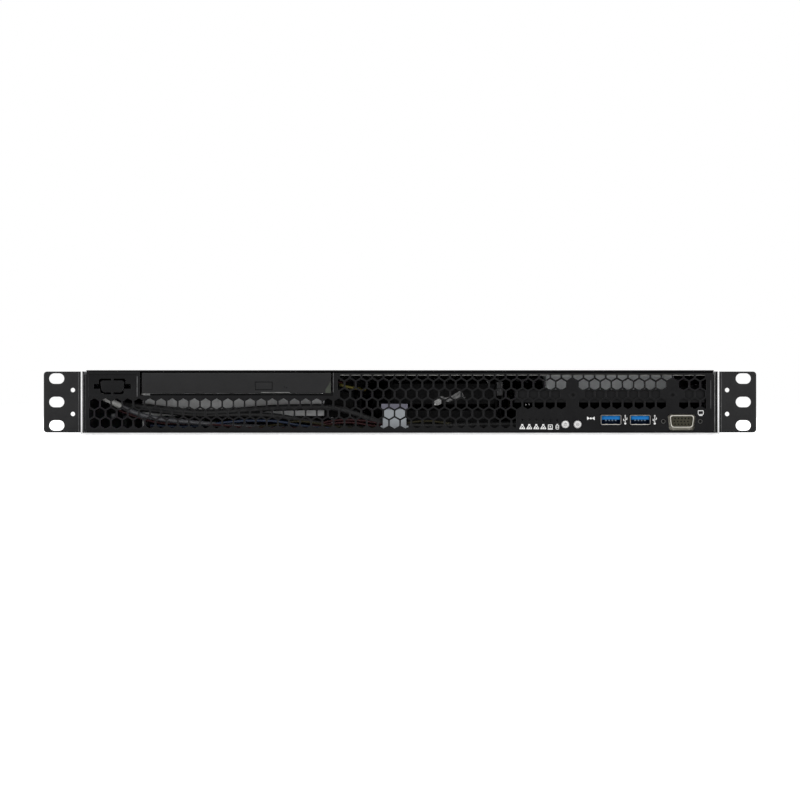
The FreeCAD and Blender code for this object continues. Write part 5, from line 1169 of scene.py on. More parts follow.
@dataclass
class FrontPanel:
    """The vented black panel with its prints, gasket and screws.

    Args:
        print_height: How proud the white print stands.
        screw_radius: The radius of the flat screw heads.
    """

    print_height: float = 0.05 * MM
    screw_radius: float = 2.7 * MM

    def ink(self, stock: Stock, x: float, z: float, width: float, height: float, face: float) -> None:
        """A printed bar.

        Args:
            stock: What it is added to.
            x: Its middle from left to right.
            z: Its middle height.
            width: Its width.
            height: Its height.
            face: The panel's front face.
        """
        low = Vector((x - width / 2, face - self.print_height, z - height / 2))
        stock.block(low, low + Vector((width, self.print_height, height)))

    def mark(self, stock: Stock, kind: Mark, x: float, z: float, face: float) -> None:
        """A small printed mark.

        Args:
            stock: What it is added to.
            kind: Which mark.
            x: Its middle from left to right.
            z: Its middle height.
            face: The panel's front face.
        """
        line = 0.42 * MM
        y0, y1 = face - self.print_height, face
        if kind is Mark.LINK:
            self.ink(stock, x, z - 1.4 * MM, 3.9 * MM, 0.5 * MM, face)
            self.ink(stock, x, z + 1.25 * MM, 1.3 * MM, 1.0 * MM, face)
            for side in (-1, 1):
                corners = [(x + side * 0.1 * MM, z + 0.9 * MM), (x + side * 0.7 * MM, z + 0.9 * MM),
                           (x + side * 1.9 * MM, z - 1.2 * MM), (x + side * 1.2 * MM, z - 1.2 * MM)]
                stock.plate(corners, Axis.Y, y0, y1)
            self.ink(stock, x, z - 0.65 * MM, 0.9 * MM, 0.9 * MM, face)
        elif kind is Mark.SQUARE:
            outer = rounded_outline(3.2 * MM, 3.0 * MM, 0.3 * MM, 3)
            inner = rounded_outline(2.3 * MM, 2.1 * MM, 0.2 * MM, 3)
            stock.hoop(outer, inner, Axis.Y, y0, y1, 0.0, (x, z))
            self.ink(stock, x, z, 0.9 * MM, 0.9 * MM, face)
            self.ink(stock, x, z - 1.75 * MM, 3.6 * MM, 0.4 * MM, face)
        elif kind is Mark.STORE:
            outer = rounded_outline(2.3 * MM, 3.1 * MM, 0.8 * MM, 4)
            inner = rounded_outline(1.5 * MM, 2.3 * MM, 0.5 * MM, 4)
            stock.hoop(outer, inner, Axis.Y, y0, y1, 0.0, (x, z - 0.3 * MM))
            self.ink(stock, x, z - 0.3 * MM, 1.5 * MM, line, face)
            self.ink(stock, x, z + 1.6 * MM, 1.1 * MM, line, face)
        elif kind is Mark.TRIO:
            for side in (-1, 1):
                tip = x + side * 0.7 * MM
                base = x + side * 2.6 * MM
                stock.plate([(tip, z), (base, z + 1.2 * MM), (base, z - 1.2 * MM)], Axis.Y, y0, y1)
            stock.plate(circle(0.65 * MM, 16), Axis.Y, y0, y1, 0.0, (x, z))
        elif kind is Mark.PLUG:
            self.ink(stock, x, z, 0.36 * MM, 5.0 * MM, face)
            stock.plate(circle(0.7 * MM, 16), Axis.Y, y0, y1, 0.0, (x, z - 2.6 * MM))
            tip = profile((-0.6, 2.3), (0.6, 2.3), (0.0, 3.3))
            stock.plate(tip, Axis.Y, y0, y1, 0.0, (x, z))
            for side, level in ((-1, 0.4), (1, 1.2)):
                self.ink(stock, x + side * 0.55 * MM, z + (level - 1.2) * MM, 1.1 * MM, 0.3 * MM, face)
                self.ink(stock, x + side * 1.1 * MM, z + (level - 0.5) * MM, 0.5 * MM, 1.2 * MM, face)
        elif kind is Mark.SCREEN:
            outer = rounded_outline(3.9 * MM, 2.9 * MM, 0.6 * MM, 3)
            inner = rounded_outline(3.1 * MM, 2.1 * MM, 0.35 * MM, 3)
            stock.hoop(outer, inner, Axis.Y, y0, y1, 0.0, (x, z + 0.7 * MM))
            self.ink(stock, x, z - 1.3 * MM, 2.4 * MM, 0.5 * MM, face)

    def prints(self) -> None:
        """The white marks under the lamps and beside the ports."""
        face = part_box("front_panel")[0].y
        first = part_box("lamp_bar")[0].x + FrontPorts.lamp_inset
        stock = Stock()
        row = (Mark.LINK, Mark.LINK, Mark.LINK, Mark.LINK, Mark.SQUARE, Mark.STORE)
        for k, kind in enumerate(row):
            self.mark(stock, kind, first + k * FrontPorts.lamp_pitch, 5.1 * MM, face)
        usb_low, usb_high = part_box("usb_shells")
        self.mark(stock, Mark.TRIO, usb_low.x - 6.7 * MM, 10.8 * MM, face)
        for x in (usb_low.x + FrontPorts.usb_width + 2.7 * MM, usb_high.x + 2.9 * MM):
            self.mark(stock, Mark.PLUG, x, 9.9 * MM, face)
        vga = middle("vga_shell")
        self.mark(stock, Mark.SCREEN, vga.x + 12.8 * MM, 14.0 * MM, face)
        stock.piece("front_prints", PRINT_WHITE, "chassis", "white_plastic")

    def gasket(self) -> None:
        """The silvery strip that shows along the vents' upper rim."""
        bezel_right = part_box("optical_bezel")[1].x
        z0, z1 = 39.75 * MM, 40.4 * MM
        y0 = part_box("front_panel")[0].y + 1.6 * MM
        stretches = ((bezel_right + 6.0 * MM, 70.5 * MM, 0.0), (72.2 * MM, 100.0 * MM, 0.05),
                     (100.5 * MM, 208.5 * MM, -0.05))
        for k, (x0, x1, shift) in enumerate(stretches):
            stock = Stock().block((x0, y0, z0 + shift * MM), (x1, y0 + 0.8 * MM, z1 + shift * MM), 0.2 * MM)
            stock.piece(f"panel_gasket_{k}", GASKET, "chassis", "zinc_sheet")

    def screws(self) -> None:
        """Two flat-head screws with cross recesses."""
        low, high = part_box("panel_screws")
        radius = self.screw_radius
        z = middle("panel_screws").z
        stock = Stock()
        for x in ends(low.x, high.x, radius):
            centre = Vector((x, low.y + 1.15 * MM, z))
            stock.turned(centre, Axis.Y, [(0.0, 2.8 * MM), (1.45 * MM, 2.8 * MM), (1.45 * MM, 0.0),
                                          (radius - 0.05 * MM, -1.05 * MM), (radius - 0.15 * MM, -1.13 * MM),
                                          (1.35 * MM, -1.13 * MM), (0.9 * MM, -0.75 * MM),
                                          (0.0, -0.7 * MM)], 32)
        stock.piece("panel_screws_shown", BLACK_SCREW, "chassis", "black_screw", ("panel_screws",))
        # Near-black crosses in the screw heads: painted shade for the recesses.
        recess = Stock()
        for x in ends(low.x, high.x, radius):
            for wide, tall in ((3.0, 0.62), (0.62, 3.0)):
                half = mm(wide / 2, 0.02, tall / 2)
                spot = Vector((x, low.y + 0.02 * MM, z))
                recess.block(spot - half, spot + half)
        recess.piece("panel_screw_recesses", HOLE_SHADE, "chassis", "black_screw")

    def sheet(self) -> None:
        """The vented sheet, with a lighter colour painted as highlights on the upright edges of the vents.
        """
        thing = softened("front_panel", BLACK_COAT, edge=0.17)
        # Faces on the upright vent edges get the lighter finish: a painted highlight.
        thing.data.materials.append(VENT_EDGE_HIGHLIGHT.material())
        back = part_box("front_panel")[0].y + 1.1 * MM
        for face in thing.data.polygons:
            if 0.3 < abs(face.normal.x) < 0.93 and abs(face.normal.z) < 0.2 and face.center.y < back:
                face.material_index = 1

    def lines(self) -> None:
        """Thin lighter strips painted as the highlights on folds and edges: beside the pocket, at the right
        end and at a few other edges.
        """
        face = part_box("front_panel")[0].y
        dim_highlights, bright = Stock(), Stock()
        for stock, x, width, z0, z1 in ((dim_highlights, -178.0, 0.6, 25.6, 39.4), (dim_highlights, 210.5, 0.35, 17.5, 36.4),
                                        (bright, 213.2, 0.3, 1.6, 42.0), (dim_highlights, -214.2, 0.3, 2.0, 42.0),
                                        (dim_highlights, -45.2, 0.45, 28.4, 41.6)):
            stock.block(mm(x - width / 2, 0, z0) + Vector((0, face - self.print_height, 0)),
                        mm(x + width / 2, 0, z1) + Vector((0, face + self.print_height, 0)), 0.04 * MM)
        for x0, x1, z, y0, y1 in ((-175.0, -169.5, 27.2, face - self.print_height, face),
                                  (-94.0, -74.6, 28.35, face - 0.62 * MM, face - 0.5 * MM)):
            bright.block((x0 * MM, y0, (z - 0.16) * MM), (x1 * MM, y1, (z + 0.16) * MM), 0.03 * MM)
        dim_highlights.piece("panel_fold_highlights", DIM_EDGE_HIGHLIGHT, "chassis", "black_paint")
        bright.piece("panel_bright_highlights", BRIGHT_EDGE_HIGHLIGHT, "chassis", "black_paint")

    def build(self) -> None:
        """Make the panel and what is printed and fixed on it."""
        self.sheet()
        self.lines()
        self.prints()
        self.gasket()
        self.screws()


@dataclass
class OpticalDrive:
    """The slim disc drive, its button and the bracket under it.

    Args:
        lens_spot: The drive lamp, from the server's middle and from its foot.
        pin_spot: The emergency pin hole, measured the same way.
        bracket_end: The left end of the dark block painted as shade over the bracket's end.
    """

    lens_spot: tuple[float, float] = (-78.3 * MM, 32.1 * MM)
    pin_spot: tuple[float, float] = (-76.8 * MM, 31.5 * MM)
    bracket_end: float = -51.6 * MM

    def bezel(self) -> None:
        """Bezel, lamp lens and emergency hole."""
        softened("optical_bezel", BEZEL_PLASTIC, "disc_tray", edge=0.35, segments=3)
        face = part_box("optical_bezel")[0].y
        # The clear lens is drawn near-black: painted shade for the unlit lamp.
        dome = profile((0.0, -0.12), (0.35, -0.1), (0.55, 0.02), (0.55, 0.3), (0.0, 0.3))
        lens = Stock().turned(Vector((self.lens_spot[0], face, self.lens_spot[1])), Axis.Y, dome, 20)
        lens.piece("drive_lamp", CAST_BLACK, "disc_tray", "clear_plastic")
        # The emergency hole is a near-black disc: painted shade.
        pin = plug(0.45 * MM, -0.01 * MM, 0.05 * MM)
        hole = Stock().turned(Vector((self.pin_spot[0], face, self.pin_spot[1])), Axis.Y, pin, 16)
        hole.piece("drive_pin_hole", HOLE_SHADE, "disc_tray", "black_plastic")

    def bracket(self) -> None:
        """The bracket, with a dark block painted as shade over its end and a pale strip painted as a
        highlight at that block's left edge.
        """
        softened("optical_bracket", DULL_ZINC, edge=0.15)
        low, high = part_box("optical_bracket")
        left, back = self.bracket_end, low.y - 0.02 * MM
        # A dark block over the bracket's end: painted shade.
        pad = Stock().block((left, low.y - 0.5 * MM, 11.6 * MM), (high.x, back, high.z), 0.1 * MM)
        pad.piece("bracket_end_painted_shade", SHADE_BLACK, "chassis", "black_plastic")
        # A pale strip at the dark block's left edge: a painted highlight.
        rim = Stock().block((left - 0.3 * MM, low.y - 0.55 * MM, 18.5 * MM), (left, back, 22.8 * MM),
                            0.05 * MM)
        rim.piece("bracket_end_highlight", ZINC_PAINTED_LIGHT, "chassis", "zinc_sheet")

    def latch(self) -> None:
        """A dark block painted as shade under the bezel, a flat plate painted as the reflection on the
        bezel's rounded corner, and the tray's latch recess, a dark block painted as shade, with its steel
        tip.
        """
        low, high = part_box("optical_bezel")
        # A dark block under the bezel: painted shade.
        shade = Stock().block((low.x + 5.5 * MM, low.y + 1.2 * MM, 25.6 * MM),
                              (high.x, low.y + 1.8 * MM, low.z - 0.15 * MM), 0.1 * MM)
        shade.piece("bezel_sill_shade", SHADE_BLACK, "chassis", "black_plastic")
        # A flat greenish plate on the bezel's rounded corner: a painted reflection.
        corner = profile((-46.9, 28.0), (-46.9, 36.6), (-48.3, 33.6), (-50.4, 30.4), (-50.6, 28.0))
        corner_plate = Stock().plate(corner, Axis.Y, low.y - 0.04 * MM, low.y + 0.04 * MM)
        corner_plate.piece("bezel_corner_painted_reflection", CORNER_REFLECTION_PAINT, "disc_tray", "black_plastic")
        y0, y1 = low.y + 0.3 * MM, low.y + 0.65 * MM
        # The latch recess is a dark block: painted shade.
        sill = Stock().block((-52.2 * MM, y0, 26.3 * MM), (-45.6 * MM, y1, 28.1 * MM), 0.1 * MM)
        sill.piece("tray_latch_recess", SHADE_BLACK, "chassis", "black_plastic")
        glint = Stock().block((-53.0 * MM, y0, 27.5 * MM), (-52.2 * MM, y1, 28.1 * MM), 0.15 * MM)
        glint.piece("tray_latch_tip", SCREW_STEEL, "chassis", "screw_steel")

    def hub(self) -> None:
        """The spindle, with its flange and its clamping nose."""
        low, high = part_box("disc_hub")
        top = high.z - low.z
        rim = top - 2.0 * MM
        outline = [(0.0, 0.0), (2.4 * MM, 0.0), (2.4 * MM, rim), (7.4 * MM, rim),
                   (7.45 * MM, top - 1.2 * MM),
                   (6.9 * MM, top - 0.9 * MM), (6.8 * MM, top - 0.4 * MM), (6.2 * MM, top), (3.0 * MM, top),
                   (2.6 * MM, top - 0.5 * MM), (0.0, top - 0.5 * MM)]
        centre = Vector((middle("disc_hub").x, middle("disc_hub").y, low.z))
        spindle = Stock().turned(centre, Axis.Z, outline, 48)
        spindle.piece("disc_hub_shown", PLAIN_STEEL, "disc_hub", "drive_steel", ("disc_hub",))

    def build(self) -> None:
        """Make the drive and its bracket."""
        self.bezel()
        softened("eject_button", BEZEL_PLASTIC, "eject_button", edge=0.25, segments=3)
        softened("optical_tray", BLACK_PLASTIC, "disc_tray", edge=0.25)
        softened("optical_case", PLAIN_STEEL, edge=0.15)
        self.bracket()
        self.latch()
        self.hub()


@dataclass
class FrontPorts:
    """The ports, lamps and buttons at the front right, on their small board.

    Args:
        usb_width: The shell's outer width.
        usb_height: The shell's outer height.
        usb_wall: The shell's sheet.
        pin_pitch: From hole to hole in the monitor port.
        jack_reach: From the monitor port's middle to each of its nuts.
        lamp_inset: From the light guide's end to its first lamp.
        lamp_pitch: From lamp to lamp.
        lamp_count: How many lamps there are.
    """

    usb_width: float = 13.9 * MM
    usb_height: float = 6.7 * MM
    usb_wall: float = 0.42 * MM
    pin_pitch: float = 2.3 * MM
    jack_reach: float = 12.5 * MM
    lamp_inset: float = 2.0 * MM
    lamp_pitch: float = 4.75 * MM
    lamp_count: int = 6

    def usb(self) -> None:
        """Two shells with round corners, blue tongues and contacts."""
        low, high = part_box("usb_shells")
        z = (low.z + high.z) / 2
        shells, tongues, backs, contacts = Stock(), Stock(), Stock(), Stock()
        for x in (low.x + self.usb_width / 2, high.x - self.usb_width / 2):
            outer = rounded_outline(self.usb_width, self.usb_height, 0.9 * MM)
            wall = 2 * self.usb_wall
            inner = rounded_outline(self.usb_width - wall, self.usb_height - wall, 0.5 * MM)
            shells.hoop(outer, inner, Axis.Y, low.y, high.y, 0.12 * MM, (x, z))
            for side in (-1, 1):
                for level in (-1, 1):
                    spot = Vector((x + side * 2.9 * MM, low.y + 2.6 * MM,
                                   z + level * (self.usb_height / 2 - self.usb_wall - 0.1 * MM)))
                    half = mm(0.9, 1.7, 0.18)
                    shells.block(spot - half, spot + half, 0.15 * MM)
            tongues.block((x - 6.1 * MM, low.y + 1.0 * MM, z + 0.15 * MM),
                          (x + 6.1 * MM, high.y, z + 2.6 * MM), 0.2 * MM)
            backs.block((x - 6.45 * MM, high.y - 3.0 * MM, low.z + 0.5 * MM),
                        (x + 6.45 * MM, high.y + 1.4 * MM, high.z - 0.5 * MM), 0.1 * MM)
            backs.block((x - 6.45 * MM, low.y + 2.2 * MM, 3.9 * MM),
                        (x + 6.45 * MM, high.y, low.z - 0.05 * MM), 0.1 * MM)
            for k in range(4):
                spot_x = x + (k - 1.5) * 2.2 * MM
                contacts.block((spot_x - 0.42 * MM, low.y + 1.8 * MM, z - 0.75 * MM),
                               (spot_x + 0.42 * MM, high.y - 3.0 * MM, z + 0.1 * MM), 0.1 * MM)
        shells.piece("usb_shells_shown", USB_STEEL, "chassis", "port_steel", ("usb_shells",))
        tongues.piece("usb_tongues_shown", BLUE_MOULDING, "chassis", "blue_plastic", ("usb_inserts",))
        backs.piece("usb_backs", BLUE_DARK, "chassis", "blue_plastic")
        contacts.piece("usb_contacts", PIN_GREY, "chassis", "port_steel")
        lips = Stock()
        for x in (low.x + self.usb_width / 2, high.x - self.usb_width / 2):
            lips.block((x - 5.9 * MM, low.y - 0.03 * MM, low.z - 0.02 * MM),
                       (x + 5.9 * MM, low.y + 0.3 * MM, low.z + 0.34 * MM), 0.08 * MM)
        lips.piece("usb_lower_lips", PORT_STEEL, "chassis", "port_steel")

    def monitor_port(self) -> None:
        """The drawn shell, its olive moulding with fifteen holes, and the jack nuts."""
        low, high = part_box("vga_shell")
        centre = middle("vga_shell")
        spot = (centre.x, centre.z)
        shell = Stock()
        shell.hoop(d_outline(16.6 * MM, 8.4 * MM), d_outline(15.4 * MM, 7.2 * MM), Axis.Y, low.y,
                   low.y + 5.9 * MM, 0.15 * MM, spot)
        flange = rounded_outline(30.8 * MM, 12.4 * MM, 1.0 * MM)
        shell.piece("monitor_shell_shown", PORT_STEEL, "chassis", "port_steel", ("vga_shell",))
        plate = Stock().plate(flange, Axis.Y, low.y + 5.8 * MM, high.y, 0.15 * MM, spot)
        plate.piece("monitor_flange", FLANGE_STEEL, "chassis", "port_steel")
        dimples = Stock()
        for dx in (-5.2, 5.2):
            seat = Vector((centre.x + dx * MM, low.y + 5.75 * MM, centre.z - 5.4 * MM))
            dimples.turned(seat, Axis.Y, profile((0.0, -0.15), (0.35, -0.1), (0.4, 0.05), (0.0, 0.05)), 16)
        dimples.piece("monitor_flange_dimples", PORT_STEEL, "chassis", "port_steel")
        core = Stock().plate(d_outline(15.35 * MM, 7.15 * MM), Axis.Y, low.y + 0.9 * MM,
                             low.y + 6.0 * MM, 0.1 * MM, spot)
        back_low, back_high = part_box("vga_insert")
        core.block((back_low.x, high.y + 0.02 * MM, back_low.z), back_high, 0.3 * MM)
        core.piece("monitor_core_shown", PORT_GREY, "chassis", "port_grey", ("vga_insert",))
        # Near-black discs for the fifteen holes: painted shade.
        holes = Stock()
        for row, (count, level) in enumerate(((5, 1.95), (5, 0.0), (5, -1.95))):
            shift = 0.55 if row == 1 else 0.0
            for k in range(count):
                x = centre.x + (k - 2) * self.pin_pitch - shift * MM
                holes.turned(Vector((x, low.y + 0.88 * MM, centre.z + level * MM)), Axis.Y,
                             plug(0.55 * MM, 0.0, 0.1 * MM), 12)
        holes.piece("monitor_port_holes", HOLE_SHADE, "chassis", "port_grey")
        nuts = Stock()
        nut_low, nut_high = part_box("vga_jack_nuts")
        for side in (-1, 1):
            x = centre.x + side * self.jack_reach
            turns = [math.radians(30 + 60 * k) for k in range(6)]
            hexagon = [(2.85 * MM * math.cos(turn), 2.85 * MM * math.sin(turn)) for turn in turns]
            nuts.plate(hexagon, Axis.Y, nut_low.y, nut_high.y, 0.12 * MM, (x, centre.z))
            nuts.hoop(circle(1.5 * MM, 24), circle(1.05 * MM, 24), Axis.Y, nut_low.y - 0.35 * MM,
                      nut_low.y + 0.2 * MM, 0.06 * MM, (x, centre.z))
        nuts.piece("jack_nuts_shown", NUT_DARK, "chassis", "screw_steel", ("vga_jack_nuts",))
        # Near-black discs in the nuts' bores: painted shade.
        bores = Stock()
        for side in (-1, 1):
            bores.turned(Vector((centre.x + side * self.jack_reach, nut_low.y - 0.05 * MM, centre.z)),
                         Axis.Y, plug(1.06 * MM, 0.0, 0.1 * MM), 20)
        bores.piece("jack_nut_bores", HOLE_SHADE, "chassis", "screw_steel")

    def buttons(self) -> None:
        """White push-buttons with soft rims and printed rings."""
        for node, glyph in (("power_button", True), ("locate_button", False)):
            low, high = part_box(node)
            centre = Vector((middle(node).x, low.y, (low.z + high.z) / 2))
            length = high.y - low.y
            outline = [(0.0, 0.0), (1.7 * MM, 0.02 * MM), (2.15 * MM, 0.12 * MM), (2.4 * MM, 0.38 * MM),
                       (2.45 * MM, 0.8 * MM), (2.45 * MM, 2.55 * MM), (3.0 * MM, 2.55 * MM),
                       (3.0 * MM, 3.5 * MM), (2.45 * MM, 3.5 * MM), (2.45 * MM, length), (0.0, length)]
            cap = Stock().turned(centre, Axis.Y, outline, 48)
            cap.piece(f"{node}_shown", WHITE_CAP, node, "white_plastic", (node,))
            ring = Stock()
            outer, inner = circle(1.05 * MM, 32), circle(0.8 * MM, 32)
            ring.hoop(outer, inner, Axis.Y, low.y - 0.02 * MM, low.y + 0.05 * MM, 0.0, (centre.x, centre.z))
            if glyph:
                ring.block((centre.x - 0.12 * MM, low.y - 0.03 * MM, centre.z + 0.1 * MM),
                           (centre.x + 0.12 * MM, low.y + 0.05 * MM, centre.z + 1.4 * MM))
            else:
                ring.plate(circle(0.35 * MM, 20), Axis.Y, low.y - 0.02 * MM, low.y + 0.05 * MM, 0.0,
                           (centre.x, centre.z))
            ring.piece(f"{node}_glyph", GLYPH_GREY, node, "white_plastic")

    def lamps(self) -> None:
        """The clear light guide, with a tip behind each hole."""
        low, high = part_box("lamp_bar")
        guide = Stock().block(low + mm(0, 1.2, 0), high, 0.3 * MM)
        for k in range(self.lamp_count):
            x = low.x + self.lamp_inset + self.lamp_pitch * k
            tip = profile((0.0, -0.35), (0.4, -0.25), (0.62, 0.0), (0.62, 0.1), (0.0, 0.1))
            guide.turned(Vector((x, low.y + 1.3 * MM, 9.3 * MM)), Axis.Y, tip, 20)
        guide.piece("lamp_guide_shown", LAMP_CLEAR, "chassis", "clear_plastic", ("lamp_bar",))

    def build(self) -> None:
        """Make the ports, buttons, lamps and board."""
        self.usb()
        self.monitor_port()
        self.buttons()
        self.lamps()
        softened("port_board", BOARD_GREEN, edge=0.1)
        softened("port_board_spacers", BRASS, edge=0.2)
        softened("button_switches", CHIP_BLACK, edge=0.2)


# ---- inside -----------------------------------------------------------------------------
@dataclass
class DriveBay:
    """The shelf, the cages and the hard drives."""

    def drive_trim(self, name: str, low: Vector, high: Vector, finish: Finish) -> None:
        """The stamped platter ring and the screws on a drive's lid.

        Args:
            name: The start of the pieces' names.
            low: The drive's lowest corner.
            high: The drive's highest corner.
            finish: The lid's finish.
        """
        ring = Stock()
        centre = (low + high) / 2
        reach = min(high.x - low.x, high.y - low.y) * 0.42
        ring.hoop(circle(reach), circle(reach - 1.6 * MM), Axis.Z, high.z - 0.1 * MM, high.z + 0.22 * MM,
                  0.1 * MM,
                  (centre.x, high.y - reach - 4.5 * MM))
        ring.piece(f"{name}_lid_ring", finish, "chassis", "drive_steel")
        screws = Stock()
        for x in (low.x + 4.5 * MM, high.x - 4.5 * MM):
            for y in (low.y + 10 * MM, centre.y, high.y - 5 * MM):
                cross_head(screws, Vector((x, y, high.z)), Axis.Z, 1.7 * MM, 0.35 * MM, 1)
        screws.piece(f"{name}_screws", SCREW_STEEL, "chassis", "screw_steel")

    def build(self) -> None:
        """Make the bay."""
        softened("drive_shelf", BLACK_COAT, edge=0.15)
        # The upper cage is made lighter to stand in for the light that reaches it behind the vents: painted
        # light.
        softened("upper_drive_cage", ZINC_PAINTED_LIGHT, edge=0.12)
        # The lower cage is black: partly a black coat, partly painted shade for the dark behind the vents.
        softened("lower_drive_cage", BLACK_COAT, edge=0.12)
        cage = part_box("lower_drive_cage")
        tab = Stock().block((66.3 * MM, cage[0].y - 0.2 * MM, 26.4 * MM),
                            (cage[1].x, cage[0].y + 0.1 * MM, 35.4 * MM), 0.08 * MM)
        tab.piece("cage_tab_face", SHADED_ZINC, "chassis", "drive_steel")
        softened("upper_drive", PLAIN_STEEL, edge=0.5, segments=3)
        # The lower drives are near-black: partly a black casting, partly painted shade for the dark behind
        # the vents.
        softened("lower_drives", CAST_BLACK, edge=0.5, segments=3)
        pins = Stock()
        for x in (85.5, 87.75):
            pins.block(mm(x - 0.45, -206.2, 19.7), mm(x + 0.45, -205.4, 20.6), 0.15 * MM)
        pins.piece("sensor_pins", WHITE_CAP, "chassis", "white_plastic")
        self.drive_trim("upper_drive", *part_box("upper_drive"), PLAIN_STEEL)
        self.drive_trim("lower_drive", *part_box("lower_drives"), CAST_BLACK)


@dataclass
class FanRow:
    """Three case fans on their bracket.

    Args:
        blades: Blades on each rotor.
        hub: The hub's radius.
        tip: The blades' outer radius.
        twist: How far a blade leans from its front to its back edge, in degrees.
        places: The fans' middles from left to right.
        height: Their middles' height.
        hole_reach: From a fan's middle to its screws, across and upwards.
    """

    blades: int = 7
    hub: float = 12.3 * MM
    tip: float = 18.1 * MM
    twist: float = 34.0
    places: tuple[float, ...] = (-62.0 * MM, -8.0 * MM, 46.0 * MM)
    height: float = 21.0 * MM
    hole_reach: float = 16.0 * MM

    def rotor(self, node: str, body: str, front: int) -> None:
        """A rotor with curved blades, in place of the plain one.

        Args:
            node: The CAD node.
            body: The body that it turns with.
            front: 1 where the hub's cap faces -Y, -1 where it faces +Y.
        """
        low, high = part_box(node)
        centre = middle(node)
        depth = high.y - low.y
        start = low.y if front > 0 else high.y
        stock = Stock()
        cap = [(0.0, 0.0), (self.hub - 1.2 * MM, 0.0), (self.hub - 0.3 * MM, 0.35 * MM),
               (self.hub, 1.2 * MM), (self.hub, depth - 0.2 * MM), (0.0, depth - 0.2 * MM)]
        stock.turned(Vector((centre.x, start, centre.z)), Axis.Y, [(r, front * w) for r, w in cap], 48)
        steps = 6
        inset = 1.4 * MM
        for k in range(self.blades):
            verts = []
            for a in range(steps + 1):
                share = a / steps
                y = start + front * (inset + (depth - 2 * inset) * share)
                lean = math.radians(self.twist * share + 8 * math.sin(math.pi * share))
                lean += 2 * math.pi * k / self.blades
                for radius, turn in ((self.hub - 0.5 * MM, lean), (self.tip, lean + math.radians(9))):
                    u, v = radius * math.cos(turn), radius * math.sin(turn)
                    verts.append(stock.bm.verts.new((centre.x + u, y, centre.z + v)))
            faces = [stock.bm.faces.new((verts[2 * a], verts[2 * a + 1], verts[2 * a + 3], verts[2 * a + 2]))
                     for a in range(steps)]
            bmesh.ops.solidify(stock.bm, geom=faces, thickness=0.9 * MM)
        bmesh.ops.recalc_face_normals(stock.bm, faces=stock.bm.faces)
        stock.piece(f"{node}_shown", FAN_PLASTIC, body, "black_plastic", (node,))

    def build(self) -> None:
        """Make the bracket, frames, rotors and fan screws."""
        softened("fan_bracket", SHADED_ZINC, edge=0.15)
        softened("fan_frames", FAN_PLASTIC, edge=0.5, segments=3)
        for side in ("left", "middle", "right"):
            self.rotor(f"fan_rotor_{side}", f"fan_rotor_{side}", 1)
        screws = Stock()
        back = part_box("fan_bracket")[1].y - 1.0 * MM
        for x in self.places:
            for dx in (-self.hole_reach, self.hole_reach):
                for dz in (-self.hole_reach, self.hole_reach):
                    seat = Vector((x + dx, back, self.height + dz))
                    cross_head(screws, seat, Axis.Y, 2.4 * MM, 1.1 * MM, -1)
        screws.piece("fan_screws", BLACK_SCREW, "chassis", "black_screw")


